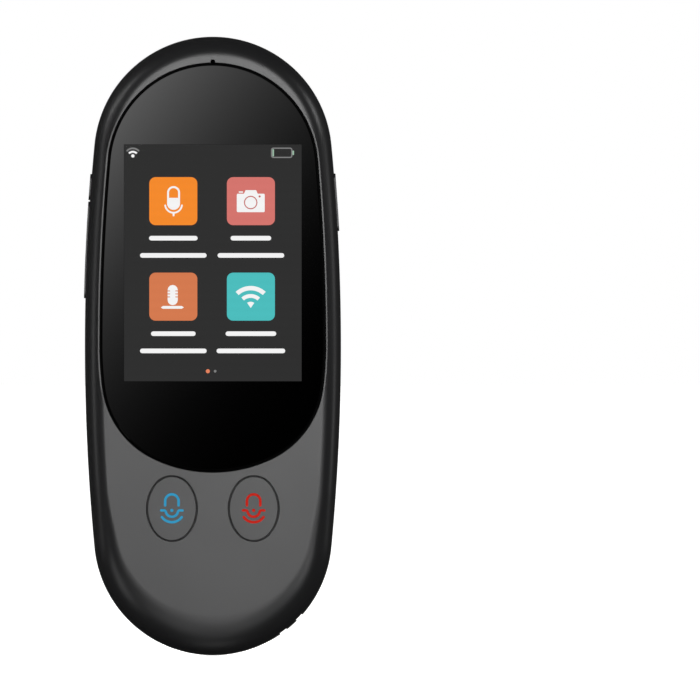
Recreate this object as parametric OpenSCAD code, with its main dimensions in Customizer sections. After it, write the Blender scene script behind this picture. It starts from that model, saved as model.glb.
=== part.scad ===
// Handheld speech translator: a slim, round-ended pocket device with a colour
// screen, two talk keys, side keys, a loudspeaker and a camera in its back.
// It is drawn lying on its back (X across, Y along, Z up out of the screen)
// and place() stands it upright, with the screen facing -Y.

/* [Body] */
// Width at the widest place
body_w = 53; // [50:0.5:58]
// Length from end to end
body_l = 128; // [124:0.5:136]
// Thickness from the flat back to the front face
body_t = 13; // [13:0.1:15]
// Radius of the bowed long sides, seen from the front
side_r = 440; // [380:10:600]
// Height of the widest line above the back
widest_h = 7.5; // [7:0.1:8]
// Height of the seam between the two shells above the back
seam_h = 4.6; // [4.2:0.1:5]
// How far the front edge rounds in at the sides
front_soft_side = 3.9; // [3:0.1:4.5]
// How far the front edge rounds in at the top end
front_soft_top = 4.2; // [3:0.1:5]
// How far the front edge rounds in at the bottom end
front_soft_bottom = 8.5; // [6:0.1:10]
// Where the front edge starts to widen, below the middle of the body
front_soft_from = 30; // [24:1:36]
// How gently that widening starts, as a share of its length
front_soft_ease = 0.1; // [0.05:0.01:0.3]
// How far the back edge rounds in at the sides
back_soft_side = 8.7; // [7:0.1:10]
// How far the back edge rounds in at both ends
back_soft_end = 9.2; // [7:0.1:10]

/* [Walls] */
// Thickness of the back floor
floor_t = 1.6; // [1.3:0.1:1.8]
// Thickness of the front panel
panel_t = 2; // [1.8:0.1:2.2]
// Wall of the front shell at the sides
rim_side = 2.3; // [2.1:0.1:2.6]
// Wall of the front shell at the ends
rim_end = 3.6; // [3.4:0.1:4]
// Wall of the back shell at its seam
tray_wall = 2.1; // [1.9:0.1:2.3]
// Height of the tongue that stands up from the back shell's edge
tongue_h = 1; // [0.7:0.1:1.2]
// Thickness of the tongue
tongue_t = 0.6; // [0.5:0.1:0.7]
// How far the snap ridges stand out of the tongue
snap_proud = 0.2; // [0.15:0.05:0.25]
// Height of the snap ridges
snap_h = 0.4; // [0.3:0.05:0.5]
// Length of each snap ridge
snap_l = 6; // [4:0.5:8]
// Snap ridges below the middle of the body
snap_at = [28, 4];
// Clearance between pieces that fit together without moving
fit_gap = 0.1; // [0.05:0.05:0.15]

/* [Window] */
// Width of the cover glass
window_w = 46; // [44:0.5:46.5]
// How far the top of the glass lies inside the top end
window_inset = 5.85; // [5.5:0.05:8]
// Bottom of the glass below the middle of the body
window_bottom = 25.75; // [24:0.05:26]
// Radius of the glass at its lower sides
window_hip_r = 67; // [62:1:75]
// Radius of the glass at its lower corners
window_corner_r = 18.5; // [17:0.5:20]
// Radius of the bottom edge of the glass
window_foot_r = 28; // [26:0.5:30]
// Gap around the glass
window_gap = 0.4; // [0.3:0.05:0.5]
// Width of the bevel around the window
window_bevel = 0.4; // [0.2:0.05:0.5]
// Thickness of the glass
glass_t = 0.8; // [0.6:0.05:0.9]
// Thickness of the adhesive under the glass
tape_t = 0.15; // [0.1:0.05:0.2]
// How far the glass lies below the front face
glass_sink = 0.1; // [0.05:0.05:0.2]

/* [Screen] */
// Width of the picture
picture_w = 36.72; // [35:0.01:38]
// Height of the picture
picture_h = 48.96; // [47:0.01:50]
// Middle of the picture below the top of the glass
picture_drop = 40.95; // [40:0.05:42]
// Border of the panel beside the picture
panel_side = 1.8; // [1.5:0.1:2]
// Border of the panel above the picture
panel_top = 2; // [1.5:0.1:2.2]
// Border of the panel below the picture, where its driver sits
panel_foot = 5.5; // [5:0.1:6]
// Thickness of the foam seal in front of the panel
seal_t = 0.3; // [0.2:0.05:0.35]
// Thickness of the glass panel
screen_t = 1.2; // [1:0.05:1.3]
// Thickness of the backlight
light_t = 1.1; // [0.9:0.05:1.2]
// Thickness of the steel bracket
bracket_t = 0.3; // [0.2:0.05:0.35]

/* [Board] */
// Height of the board's lower face above the back
board_h = 6.2; // [6.1:0.05:6.3]
// Thickness of the circuit board
board_t = 1; // [0.8:0.1:1]
// Gap between the board's edge and the front shell
board_gap = 1.3; // [1.2:0.1:1.6]
// Shank radius of the board screws
screw_r = 0.8; // [0.7:0.05:0.9]
// Length of their shanks
screw_l = 3.6; // [3:0.1:3.7]
// Radius of the screw heads
screw_head_r = 1.4; // [1.2:0.1:1.5]
// Height of the screw heads
screw_head_h = 0.7; // [0.5:0.1:0.9]
// Radius of the screw posts
post_r = 1.9; // [1.7:0.1:2]
// Direction of the upper posts from the speaker's centre
post_angle = 25; // [22:1:28]
// Clearance between the speaker and the heads of the upper screws
post_clear = 0.6; // [0.4:0.1:0.8]
// Middle posts below the screen panel
post_drop = 6.22; // [4:0.02:8]
// Lower posts beside the long axis
post_low = 13; // [12:0.1:14]
// Lower posts inside the bottom end
post_inset = 12.5; // [12:0.1:13.5]

/* [Talk keys] */
// Width of the oval holes
key_w = 10.5; // [9.5:0.1:11]
// Height of the oval holes
key_h = 13.6; // [13:0.1:14]
// Radius of their long sides
key_side_r = 8.2; // [7.8:0.1:9]
// Distance between the two keys, centre to centre
key_pitch = 16.9; // [16.4:0.1:18]
// Centre of the keys below the middle of the body
key_drop = 33.6; // [33.4:0.1:34.5]
// Gap around each key
key_gap = 0.2; // [0.15:0.05:0.3]
// Travel of each key
key_travel = 0.3; // [0.2:0.05:0.35]
// Width of the flange that holds each key in
key_flange = 0.7; // [0.5:0.1:0.8]
// Thickness of that flange
key_flange_t = 0.5; // [0.4:0.05:0.6]

/* [Side keys] */
// Height of the key caps, through the thickness of the body
cap_h = 2.4; // [2.2:0.1:2.6]
// Centre of the key caps above the back
cap_z = 6.9; // [6.8:0.05:7]
// How far they stand proud
cap_proud = 0.3; // [0.25:0.05:0.5]
// Gap around the caps
cap_gap = 0.15; // [0.1:0.05:0.2]
// Travel of the caps
cap_travel = 0.25; // [0.15:0.05:0.25]
// Thickness of their flanges
cap_flange_t = 0.6; // [0.5:0.05:0.7]
// Bottom of the volume rocker inside the top end
rocker_inset = 54.1; // [53:0.1:56]
// Length of the volume rocker
rocker_l = 20; // [18:0.1:20.1]
// Length of the short function key above it
function_l = 5.4; // [5:0.1:6]
// Bottom of the power key inside the top end
power_inset = 40.2; // [39:0.1:44]
// Length of the power key
power_l = 11.9; // [10:0.1:12.5]
// Length of a side switch
switch_l = 4; // [3.5:0.1:4.2]
// Depth of a side switch
switch_w = 2.6; // [2.3:0.1:2.8]
// Height of a side switch
switch_h = 1.6; // [1.4:0.05:1.65]

/* [Speaker] */
// Centre of the speaker inside the top end
speaker_inset = 21.8; // [21.5:0.1:22.5]
// Radius of the speaker
speaker_r = 14; // [13.8:0.1:14.2]
// Radius of its voice coil
coil_r = 3.3; // [3:0.1:3.6]
// Width of the soft roll around its cone
roll_w = 1.5; // [1.3:0.1:1.7]
// Height of the speaker
speaker_h = 3.9; // [3.5:0.1:3.95]
// Thickness of the foam ring under it
ring_t = 0.5; // [0.3:0.05:0.6]
// Radius of the innermost ring of grille holes
grille_first = 1.35; // [1.2:0.05:1.5]
// Distance between the rings of holes near the middle
grille_pitch = 1.75; // [1.6:0.01:1.78]
// How much closer each ring lies than the one before, by half
grille_squeeze = 0.0225; // [0.015:0.0005:0.03]
// Diameter of the inner holes
hole_d_inner = 1.05; // [0.8:0.05:1.15]
// Diameter of the outer holes
hole_d_outer = 0.8; // [0.6:0.05:0.9]

/* [Camera] */
// Centre of the camera below the centre of the speaker
camera_drop = 20.3; // [19.8:0.1:21]
// Outer radius of the chrome ring
chrome_r = 4.26; // [4:0.01:4.4]
// Inner radius of the chrome ring
chrome_bore_r = 3.77; // [3.5:0.01:3.85]
// Radius of the hole in the back
camera_hole_r = 4.6; // [4.55:0.05:4.8]
// Radius of the lens barrel
barrel_r = 3.2; // [2.9:0.1:3.3]
// Radius of the front lens
lens_r = 1.78; // [1.5:0.01:2]
// Height of the barrel behind its front
barrel_h = 1.9; // [1.6:0.1:2]
// Side of the square camera module
module_w = 8.5; // [8:0.1:9]
// How far the ring lies below the back face
chrome_sink = 0.05; // [0.03:0.01:0.1]

/* [Socket and eyelet] */
// Width of the charging socket
socket_w = 8.94; // [8.8:0.02:9.1]
// Height of the charging socket
socket_h = 3.2; // [3.1:0.02:3.3]
// Depth of the charging socket
socket_l = 7.3; // [7:0.1:7.6]
// Thickness of its steel
socket_t = 0.3; // [0.25:0.05:0.35]
// Gap around the socket in the shells and the board
socket_gap = 0.15; // [0.1:0.05:0.2]
// How far its mouth lies inside the end of the body
socket_sink = 0.7; // [0.6:0.05:0.9]
// Angle of the lanyard bar, from the right-hand side towards the bottom end
eyelet_angle = 48.3; // [46:0.1:50]
// Width of the lanyard bar along the edge
bar_w = 2.7; // [2.4:0.1:3]
// Thickness of the lanyard bar
bar_t = 1.4; // [1.2:0.1:1.5]
// Width of each lanyard opening along the edge
eyelet_w = 1.7; // [1.5:0.1:1.8]
// Height of the lanyard openings, through the thickness of the body
eyelet_h = 3.2; // [2.8:0.1:3.4]

/* [Battery] */
// Width of the battery
battery_w = 33; // [30:0.5:33.5]
// Gap between the battery and the processor's shield
battery_gap = 4.7; // [4:0.1:8]
// Thickness of the battery
battery_t = 4; // [3.6:0.1:4.2]
// Top of the battery below the centre of the camera
battery_drop = 12.9; // [12:0.1:15]

/* [Small parts] */
// Radius of the microphone hole
mic_hole_r = 0.5; // [0.4:0.05:0.6]
// Centre of the microphone hole inside the top end
mic_inset = 5.25; // [5.1:0.05:5.5]
// Size of the microphone across, along and through the body
mic_size = [2.8, 1.9, 1];
// Size of the processor's shield across, along and through the body
shield_size = [22, 12, 1.5];
// Centre of that shield inside the bottom end
shield_inset = 16.3; // [15:0.1:17]
// Size of each memory chip across, along and through the body
chip_size = [6, 5, 1];
// Gap between the chips and their neighbours
chip_gap = 2; // [1.5:0.1:2.5]
// Size of the battery plug across, along and through the body
plug_size = [4.6, 4, 1.8];
// Width of the screen's flexible cable
flex_w = 18; // [14:0.5:20]
// Thickness of that cable
flex_t = 0.15; // [0.1:0.05:0.2]

/* [Hidden] */
$fn = 48;

half_w = body_w / 2;
half_l = body_l / 2;
// Places along the body: the glass, microphone, speaker, camera and side keys keep
// to its top end, the talk keys to its middle, the shield and lower posts to its bottom
window_top = half_l - window_inset;
picture_mid = window_top - picture_drop;
mic_mid = half_l - mic_inset;
speaker_mid = half_l - speaker_inset;
camera_mid = speaker_mid - camera_drop;
rocker_from = half_l - rocker_inset;
power_from = half_l - power_inset;
battery_high = camera_mid - battery_drop;
shield_y = shield_inset - half_l;

// Outlines are chains of arcs that meet without a corner. Each arc is a centre,
// a radius and the angle at which its outward direction hands over to the next.
// A round end runs from a bowed side into one end arc, whose radius follows.
function round_end(w, l, side) =
    let (end = (2 * side * w - w * w - l * l) / (2 * (side - l)))
    [[[w - side, 0], side, atan2(l - end, side - w)], [[0, l - end], end, 90]];
// A full end has a tighter corner arc between its side and a flatter end arc.
function full_end(w, l, side, corner, end) =
    let (
        side_c = [w - side, 0],
        end_c = [0, l - end],
        span = norm(end_c - side_c),
        to_side = side - corner,
        to_end = end - corner,
        along = (to_side * to_side - to_end * to_end + span * span) / (2 * span),
        aside = sqrt(to_side * to_side - along * along),
        u = (end_c - side_c) / span,
        corner_c = side_c + u * along + [-u.y, u.x] * aside,
        turn = corner_c - side_c,
        last = corner_c - end_c
    )
    [[side_c, side, atan2(turn.y, turn.x)], [corner_c, corner, atan2(last.y, last.x)],
     [end_c, end, 90]];
function arc_at(arcs, a, i = 0) = a <= arcs[i][2] ? arcs[i] : arc_at(arcs, a, i + 1);
function arc_point(arc, a, inset) = arc[0] + (arc[1] - inset) * [cos(a), sin(a)];
function sign_of(v) = v < 0 ? -1 : 1;

// The directions in which an outline gets its points: close together on the
// bowed sides, which turn slowly, and even around the ends.
QUARTER = concat([0.4, 1.6, 2.8, 4, 5.2, 6.6], [for (a = [10:4:86]) a]);
ANGLES = concat([0], QUARTER, [90], [for (i = [len(QUARTER)-1:-1:0]) 180 - QUARTER[i]],
    [180], [for (a = QUARTER) 180 + a], [270],
    [for (i = [len(QUARTER)-1:-1:0]) 360 - QUARTER[i]]);

// One outline, its arcs moved in by an inset for each direction
function outline(upper, lower, insets) =
    [for (i = [0:len(ANGLES)-1])
        let (
            a = ANGLES[i],
            steep = asin(min(1, abs(sin(a)))),
            arcs = sin(a) < 0 ? lower : upper,
            p = arc_point(arc_at(arcs, steep), steep, insets[i])
        )
        [sign_of(cos(a)) * p.x, sign_of(sin(a)) * p.y]];
function even(inset) = [for (a = ANGLES) inset];

BODY_END = round_end(half_w, half_l, side_r);
body_end_y = BODY_END[1][0].y;
body_end_r = BODY_END[1][1];
WINDOW_TOP = round_end(window_w / 2, window_top, side_r);
WINDOW_FOOT = full_end(window_w / 2, window_bottom, window_hip_r, window_corner_r,
    window_foot_r);
// Half the width of the body at a distance from its middle
function side_x(y) = half_w - side_r + sqrt(side_r * side_r - y * y);

// The skin is an egg-shaped edge: a tilt of -90 is the flat back, 0 the widest
// line and 90 the flat front. The softness differs by direction.
function soft(side, end, a) = side + (end - side) * sin(a) * sin(a);
// Towards the bottom end the front edge widens with the distance along the body
function low_soft(steep) =
    let (
        y = arc_point(arc_at(BODY_END, steep), steep, 0).y,
        u = max(0, (y - front_soft_from) / (half_l - front_soft_from))
    )
    front_soft_side + (front_soft_bottom - front_soft_side)
        * u * u * (1 + front_soft_ease) / (u + front_soft_ease);
function skin_soft(tilt, a) =
    tilt < 0 ? soft(back_soft_side, back_soft_end, a)
    : sin(a) < 0 ? low_soft(asin(min(1, -sin(a))))
    : soft(front_soft_side, front_soft_top, a);
function skin_z(tilt) = widest_h + sin(tilt) * (tilt < 0 ? widest_h : body_t - widest_h);
function skin_ring(tilt) =
    let (edge = outline(BODY_END, BODY_END,
        [for (a = ANGLES) skin_soft(tilt, a) * (1 - cos(tilt))]))
    [for (p = edge) [p.x, p.y, skin_z(tilt)]];
// The tray's inside is a smaller edge of the same kind on the back floor
tray_soft = 1;
function tray_ring(tilt) =
    let (edge = outline(BODY_END, BODY_END,
        [for (a = ANGLES) tray_wall + (skin_soft(tilt, a) - tray_soft) * (1 - cos(tilt))]))
    [for (p = edge) [p.x, p.y, floor_t + (widest_h - floor_t) * (1 + sin(tilt))]];
function tilt_at(z) = asin((z - widest_h) / (z < widest_h ? widest_h : body_t - widest_h));

// Heights of what lies under the front panel, from the front to the back
panel_z = body_t - panel_t;
glass_z = body_t - glass_sink - glass_t;
recess_z = glass_z - tape_t;
seal_z = panel_z - seal_t;
screen_z = seal_z - screen_t;
light_z = screen_z - light_t;
bracket_z = light_z - bracket_t;
board_top = board_h + board_t;
cavity_w = half_w - rim_side;
cavity_l = half_l - rim_end;
cavity_side = side_r - rim_side;
CAVITY_END = round_end(cavity_w, cavity_l, cavity_side);

// The screen's glass panel reaches beyond the picture
panel_half = picture_w / 2 + panel_side;
panel_low = picture_mid - picture_h / 2 - panel_foot;
panel_high = picture_mid + picture_h / 2 + panel_top;

// Places of the screw posts: beside the speaker, beside the talk keys and at
// the bottom end
post_ray = speaker_r + screw_head_r + post_clear;
post_x = cavity_w - board_gap - post_r - 0.3;
POSTS = [for (s = [-1, 1]) each [
    [s * post_ray * cos(post_angle), speaker_mid + post_ray * sin(post_angle)],
    [s * post_x, panel_low - post_drop],
    [s * post_low, post_inset - half_l]]];

// Stand the device upright on its bottom end, with its middle at the origin
module place() {
    rotate([90, 0, 0])
        translate([0, 0, -body_t / 2])
            children();
}
// A closed solid through rings of points, from the lowest to the highest
module skin(rings) {
    n = len(rings[0]);
    layers = len(rings);
    polyhedron(
        points = [for (r = rings) each r],
        faces = concat(
            [[for (i = [0:n-1]) i]],
            [for (k = [0:layers-2], i = [0:n-1]) let (j = (i + 1) % n)
                each [[k * n + i, (k + 1) * n + i, (k + 1) * n + j],
                      [k * n + i, (k + 1) * n + j, k * n + j]]],
            [[for (i = [n-1:-1:0]) (layers - 1) * n + i]]));
}
// A flat outline of two bowed sides and two round ends
module oval(w, l, side) {
    arcs = round_end(w, l, side);
    polygon(outline(arcs, arcs, even(0)));
}
function window_ring(grow) = outline(WINDOW_TOP, WINDOW_FOOT, even(-grow));
module window_outline(grow) {
    polygon(window_ring(grow));
}
// What the front panel leaves out for the glass, with a bevelled edge
module window_recess() {
    skin([for (step = [[recess_z, 0], [body_t - window_bevel, 0], [body_t, window_bevel],
            [body_t + 1, window_bevel]])
        [for (p = window_ring(window_gap + step[1])) [p.x, p.y, step[0]]]]);
}
module rounded(size, r) {
    square(size - [2 * r, 0], center = true);
    square(size - [0, 2 * r], center = true);
    for (x = [-1, 1], y = [-1, 1])
        translate([x * (size.x / 2 - r), y * (size.y / 2 - r)])
            circle(r);
}
module slab(z, t) {
    translate([0, 0, z])
        linear_extrude(t)
            children();
}
module block(low, high) {
    translate(low)
        cube(high - low);
}
// A band along the right-hand side, between two depths under the outline
module side_band(shallow, deep) {
    difference() {
        translate([half_w - side_r, 0])
            circle(side_r - shallow, $fn = 720);
        translate([half_w - side_r, 0])
            circle(side_r - deep, $fn = 720);
    }
}
// A piece of that band, with rounded corners seen from the side
module side_bar(from, to, z, h, corner, shallow, deep) {
    intersection() {
        slab(z - h / 2, h)
            intersection() {
                side_band(shallow, deep);
                translate([0, from])
                    square([body_w, to - from]);
            }
        translate([0, (from + to) / 2, z])
            rotate([90, 0, 90])
                linear_extrude(body_w)
                    rounded([to - from, h], corner);
    }
}
// A sector of a ring around a point on the long axis
module ring_sector(y, inner, outer, from, to) {
    reach = 2 * half_l;
    translate([0, y])
        intersection() {
            difference() {
                circle(outer, $fn = 96);
                circle(inner, $fn = 96);
            }
            polygon([[0, 0], reach * [cos(from), sin(from)], reach * [cos(to), sin(to)]]);
        }
}

// ---- The two shells ----

channel_r = body_end_r - bar_t;
channel_w = eyelet_w;
eyelet_wall = 1.1;
eyelet_root = 0.4;
bar_half = asin(bar_w / 2 / body_end_r);
eyelet_half = asin((bar_w / 2 + eyelet_w) / body_end_r);
eyelet_z = widest_h - 0.1;

module lanyard_sector(inner, outer, half) {
    ring_sector(-body_end_y, inner, outer, -eyelet_angle - half, -eyelet_angle + half);
}
module eyelet_block() {
    slab(seam_h + 0.3, panel_z - seam_h)
        lanyard_sector(channel_r - channel_w - eyelet_wall, channel_r - channel_w + eyelet_root,
            eyelet_half + 4);
}
module eyelet_hollow() {
    slab(eyelet_z - eyelet_h / 2, eyelet_h) {
        lanyard_sector(channel_r - channel_w, channel_r, eyelet_half);
        difference() {
            lanyard_sector(channel_r - channel_w, body_end_r + 2, eyelet_half);
            lanyard_sector(channel_r - channel_w - 1, body_end_r + 3, bar_half);
        }
    }
}

// The socket's opening ends at the widest line, so the end of the body stays whole
socket_z = widest_h - socket_gap - socket_h / 2;
socket_mouth = half_l - socket_sink;
module socket_outline(grow) {
    rounded([socket_w + 2 * grow, socket_h + 2 * grow], socket_h / 2 + grow - 0.01);
}
module along_socket(from, to) {
    translate([0, -from, socket_z])
        rotate([90, 0, 0])
            linear_extrude(to - from)
                children();
}

function_from = rocker_from + rocker_l + 2 * cap_gap;
function_to = function_from + function_l;
power_to = power_from + power_l;
cap_corner = cap_h / 2 - 0.2;
module cap_slot(from, to) {
    side_bar(from - cap_gap, to + cap_gap, cap_z, cap_h + 2 * cap_gap,
        cap_corner + cap_gap, -2, rim_side + 1);
}

// Snap ridges hold the shells together, two on each long side. The front shell has
// a groove for each, larger all round by a gap.
snap_z = seam_h + tongue_h / 2;
tongue_in = tray_wall - tongue_t;
module snaps(gap) {
    size = [2 * (snap_proud + gap), snap_l + 2 * gap, snap_h + 2 * gap];
    for (side = [-1, 1], y = snap_at)
        translate([side * (side_x(y) - tongue_in), -y, snap_z])
            cube(size, center = true);
}

module front_shell() {
    color("#3a3b3d")
        place()
            difference() {
                union() {
                    difference() {
                        skin(concat([skin_ring(tilt_at(seam_h)), skin_ring(tilt_at(seam_h) / 2)],
                            [for (t = [0:10:90]) skin_ring(t)]));
                        slab(seam_h - 1, panel_z - seam_h + 1)
                            oval(cavity_w, cavity_l, cavity_side);
                    }
                    eyelet_block();
                    for (p = POSTS)
                        translate([p.x, p.y, board_top])
                            cylinder(panel_z - board_top + 0.2, r = post_r);
                }
                // Rebate for the back shell's tongue
                slab(seam_h - 1, 1 + tongue_h + fit_gap)
                    oval(half_w - tongue_in + fit_gap, half_l - tongue_in + fit_gap, side_r);
                snaps(fit_gap);
                // Window recess and the opening behind the picture
                window_recess();
                slab(panel_z - 1, panel_t)
                    picture_opening(picture_margin);
                // Talk keys, microphone, screws
                for (s = [-1, 1])
                    translate([s * key_pitch / 2, -key_drop])
                        slab(panel_z - 1, panel_t + 2)
                            oval(key_w / 2, key_h / 2, key_side_r);
                translate([0, mic_mid, panel_z - 1])
                    cylinder(panel_t + 2, r = mic_hole_r);
                for (p = POSTS)
                    translate([p.x, p.y, board_top - 1])
                        cylinder(screw_l + 0.4, r = screw_r + 0.05);
                // Side keys, socket and lanyard eyelet
                cap_slot(power_from, power_to);
                mirror([1, 0, 0])
                    cap_slot(rocker_from, function_to);
                along_socket(cavity_l - 1, half_l + 1)
                    socket_outline(socket_gap);
                eyelet_hollow();
            }
}

GRILLE_COUNTS = [4, 8, 16, 24, 32, 40, 48, 60];
last_ring = len(GRILLE_COUNTS) - 1;
module grille_holes() {
    for (k = [0:last_ring])
        let (
            ring = grille_first + grille_pitch * k - grille_squeeze * k * k,
            hole = hole_d_inner + (hole_d_outer - hole_d_inner) * k / last_ring
        )
        for (i = [0:GRILLE_COUNTS[k]-1])
            rotate(i * 360 / GRILLE_COUNTS[k])
                translate([ring, 0])
                    cylinder(floor_t + 2, d = hole, $fn = 16);
}

module back_shell() {
    color("#3f4042")
        place()
            difference() {
                union() {
                    difference() {
                        union() {
                            skin(concat([for (t = [-90:10:-30]) skin_ring(t)],
                                [skin_ring(tilt_at(seam_h))]));
                            // Tongue that slips into the front shell
                            slab(seam_h - 0.5, 0.5 + tongue_h)
                                oval(half_w - tongue_in, half_l - tongue_in, side_r);
                            snaps(0);
                        }
                        skin(concat([for (t = [-90:15:-30]) tray_ring(t)], [
                            for (z = [seam_h - 0.6, seam_h + tongue_h + 1])
                                [for (p = outline(BODY_END, BODY_END, even(tray_wall)))
                                    [p.x, p.y, z]]]));
                        translate([0, speaker_mid, floor_t])
                            cylinder(seam_h, r = speaker_r + 0.25);
                    }
                    // Collar around the speaker, within the tray
                    intersection() {
                        translate([0, speaker_mid, floor_t - 0.5])
                            difference() {
                                cylinder(2.5, r = speaker_r + 1.05, $fn = 96);
                                translate([0, 0, -1])
                                    cylinder(5, r = speaker_r + 0.25, $fn = 96);
                            }
                        skin([for (t = [-90:15:-30]) skin_ring(t)]);
                    }
                }
                translate([0, speaker_mid, -1])
                    grille_holes();
                translate([0, camera_mid, -1])
                    cylinder(floor_t + 2, r = camera_hole_r);
                along_socket(cavity_l - 1, half_l + 1)
                    socket_outline(socket_gap);
            }
}

// ---- Window and screen ----

picture_margin = 0.8;
module picture_opening(grow) {
    translate([0, picture_mid])
        rounded([picture_w + 2 * grow, picture_h + 2 * grow], 0.8);
}
module panel_outline(grow) {
    translate([-panel_half - grow, panel_low - grow])
        square([2 * (panel_half + grow), panel_high - panel_low + 2 * grow]);
}

module display_window() {
    color([0.1, 0.1, 0.1, 0.7])
        place()
            slab(glass_z, glass_t)
                window_outline(0);
}
module window_tape() {
    color("#18181a")
        place()
            slab(recess_z, tape_t)
                difference() {
                    window_outline(-fit_gap);
                    picture_opening(picture_margin);
                }
}
module screen_seal() {
    color("#2a2a2c")
        place()
            slab(seal_z, seal_t)
                difference() {
                    panel_outline(-0.4);
                    picture_opening(0.5);
                }
}
module screen_panel() {
    color("#2f3133")
        place()
            slab(screen_z, screen_t)
                panel_outline(0);
}
light_low = panel_low + 3.4;
module screen_backlight() {
    color("#e8e8e4")
        place()
            block([0.2 - panel_half, light_low, light_z], [panel_half - 0.2, panel_high - 0.2, screen_z]);
}

turn_r = (screen_z - board_top - fit_gap) / 2;
turn_y = panel_low - 0.6;
plug_y = turn_y + 5;
connector_l = 3;
connector_h = 0.8;
module flex_profile() {
    centre = [turn_y, screen_z - turn_r];
    translate(centre + [0, turn_r - flex_t])
        square([3.6, flex_t]);
    translate(centre - [0, turn_r])
        square([plug_y - turn_y, flex_t]);
    translate(centre)
        difference() {
            circle(turn_r);
            circle(turn_r - flex_t);
            translate([0, -2 * turn_r])
                square(4 * turn_r);
        }
}
module screen_flex() {
    color("#c98a3c")
        place()
            rotate([90, 0, 90])
                linear_extrude(flex_w, center = true)
                    flex_profile();
}
module screen_connector() {
    color("#e4e0d2")
        place()
            translate([-flex_w / 2 - 1, plug_y, board_top])
                cube([flex_w + 2, connector_l, connector_h]);
}
bracket_low = plug_y + connector_l + 0.5;
module screen_bracket() {
    wall_out = panel_half + fit_gap + bracket_t;
    top_out = panel_high + fit_gap + bracket_t;
    opening = [0.7 * picture_w, 0.29 * picture_h];
    color("#b9bcc0")
        place()
            difference() {
                union() {
                    block([-wall_out, bracket_low, bracket_z], [wall_out, top_out, seal_z - 0.2]);
                    for (x = [-1, 1], y = [bracket_low + 2, panel_high - 2])
                        translate([x * (panel_half - 2.5) - 1, y - 1, board_top])
                            cube([2, 2, bracket_z - board_top + 0.1]);
                }
                block([-panel_half - fit_gap, bracket_low - 1, light_z],
                    [panel_half + fit_gap, panel_high + fit_gap, seal_z + 1]);
                // Lightening windows in the floor
                for (s = [-1, 1])
                    translate([0, picture_mid + s * 0.2 * picture_h, bracket_z - 1])
                        linear_extrude(2)
                            rounded(opening, 2);
            }
}

// ---- Board, battery and small electronics ----

module main_board() {
    color("#1f5a3a")
        place()
            slab(board_h, board_t)
                difference() {
                    oval(cavity_w - board_gap, cavity_l - 0.4, cavity_side - board_gap);
                    translate([0, -(socket_mouth - socket_l - socket_gap) - half_l / 2])
                        square([socket_w + 2 * socket_gap, half_l], center = true);
                    lanyard_sector(channel_r - channel_w - eyelet_wall - 0.3, half_l,
                        eyelet_half + 5.5);
                    for (p = POSTS)
                        translate(p)
                            circle(screw_r + 0.15);
                }
}
module board_screws() {
    color("#c8c8c8")
        place()
            for (p = POSTS)
                translate([p.x, p.y, board_h])
                    difference() {
                        union() {
                            cylinder(screw_l, r = screw_r);
                            translate([0, 0, -screw_head_h])
                                cylinder(screw_head_h, r = screw_head_r);
                        }
                        for (turn = [0, 90])
                            rotate(turn)
                                cube([1.5 * screw_head_r, 0.3, screw_head_h], center = true);
                    }
}
shield_wall = 0.2;
module processor_shield() {
    color("#c4c6c8")
        place()
            translate([0, shield_y, board_h - shield_size.z / 2])
                difference() {
                    cube(shield_size, center = true);
                    translate([0, 0, shield_wall])
                        cube(shield_size - [2, 2, 0] * shield_wall, center = true);
                }
}
chips_x = module_w / 2 + chip_gap + chip_size.x / 2;
chips_y = battery_high + chip_gap + chip_size.y / 2;
module memory_chips() {
    color("#202022")
        place()
            for (p = [[chips_x, chips_y], [chips_x, chips_y + chip_size.y + chip_gap], [0, shield_y]])
                translate([p.x, p.y, board_h - chip_size.z / 2])
                    cube(chip_size, center = true);
}
module battery_plug() {
    color("#e8e4da")
        place()
            translate([plug_size.x - battery_w / 2, chips_y, board_h - plug_size.z / 2])
                cube(plug_size, center = true);
}
battery_z = floor_t + tape_t;
battery_l = battery_high - (shield_y + shield_size.y / 2 + battery_gap);
module battery_cell() {
    color("#9fa3a8")
        place()
            translate([0, battery_high, battery_z + battery_t / 2])
                rotate([90, 0, 0])
                    linear_extrude(battery_l)
                        rounded([battery_w, battery_t], 0.9);
}
module battery_tape() {
    color("#d8d8d8")
        place()
            slab(floor_t, tape_t)
                translate([0, battery_high - battery_l / 2])
                    square([battery_w - 4, battery_l - 6], center = true);
}

// ---- Speaker ----

module at_speaker(z) {
    translate([0, speaker_mid, z])
        rotate_extrude($fn = 96)
            children();
}
speaker_z = floor_t + ring_t;
ring_inner = speaker_r - 0.85;
basket_h = speaker_h - 1.2;
basket_t = 0.4;
cone_t = 0.2;
rim_h = 1.2;
roll_out = speaker_r - 1.6;
module speaker_frame() {
    back_r = speaker_r - 4.8;
    color("#2c2c2e")
        place()
            at_speaker(speaker_z)
                polygon([[roll_out, 0], [speaker_r, 0], [speaker_r, rim_h], [speaker_r - 0.8, rim_h],
                    [back_r, basket_h], [coil_r + 0.1, basket_h], [coil_r + 0.1, basket_h - basket_t],
                    [back_r - basket_t, basket_h - basket_t], [roll_out, 0.9]]);
}
module speaker_cone() {
    edge = roll_out - 0.1;
    crest = edge - roll_w / 2 + 0.05;
    foot = edge - roll_w;
    color("#1c1c1e")
        place()
            at_speaker(speaker_z)
                polygon([[0, 1], [coil_r / 2 - 0.05, 1.1], [coil_r - cone_t, 1.5], [foot, 0.4],
                    [crest, 0.2], [edge, 0.4], [edge, 0.4 + cone_t], [crest, 0.2 + cone_t],
                    [foot, 0.4 + cone_t], [coil_r, 1.75], [coil_r, basket_h - 0.1],
                    [coil_r - cone_t, basket_h - 0.1], [coil_r - 0.3, 1.7],
                    [coil_r / 2 - 0.05, 1.3], [0, 1 + cone_t]]);
}
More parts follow.
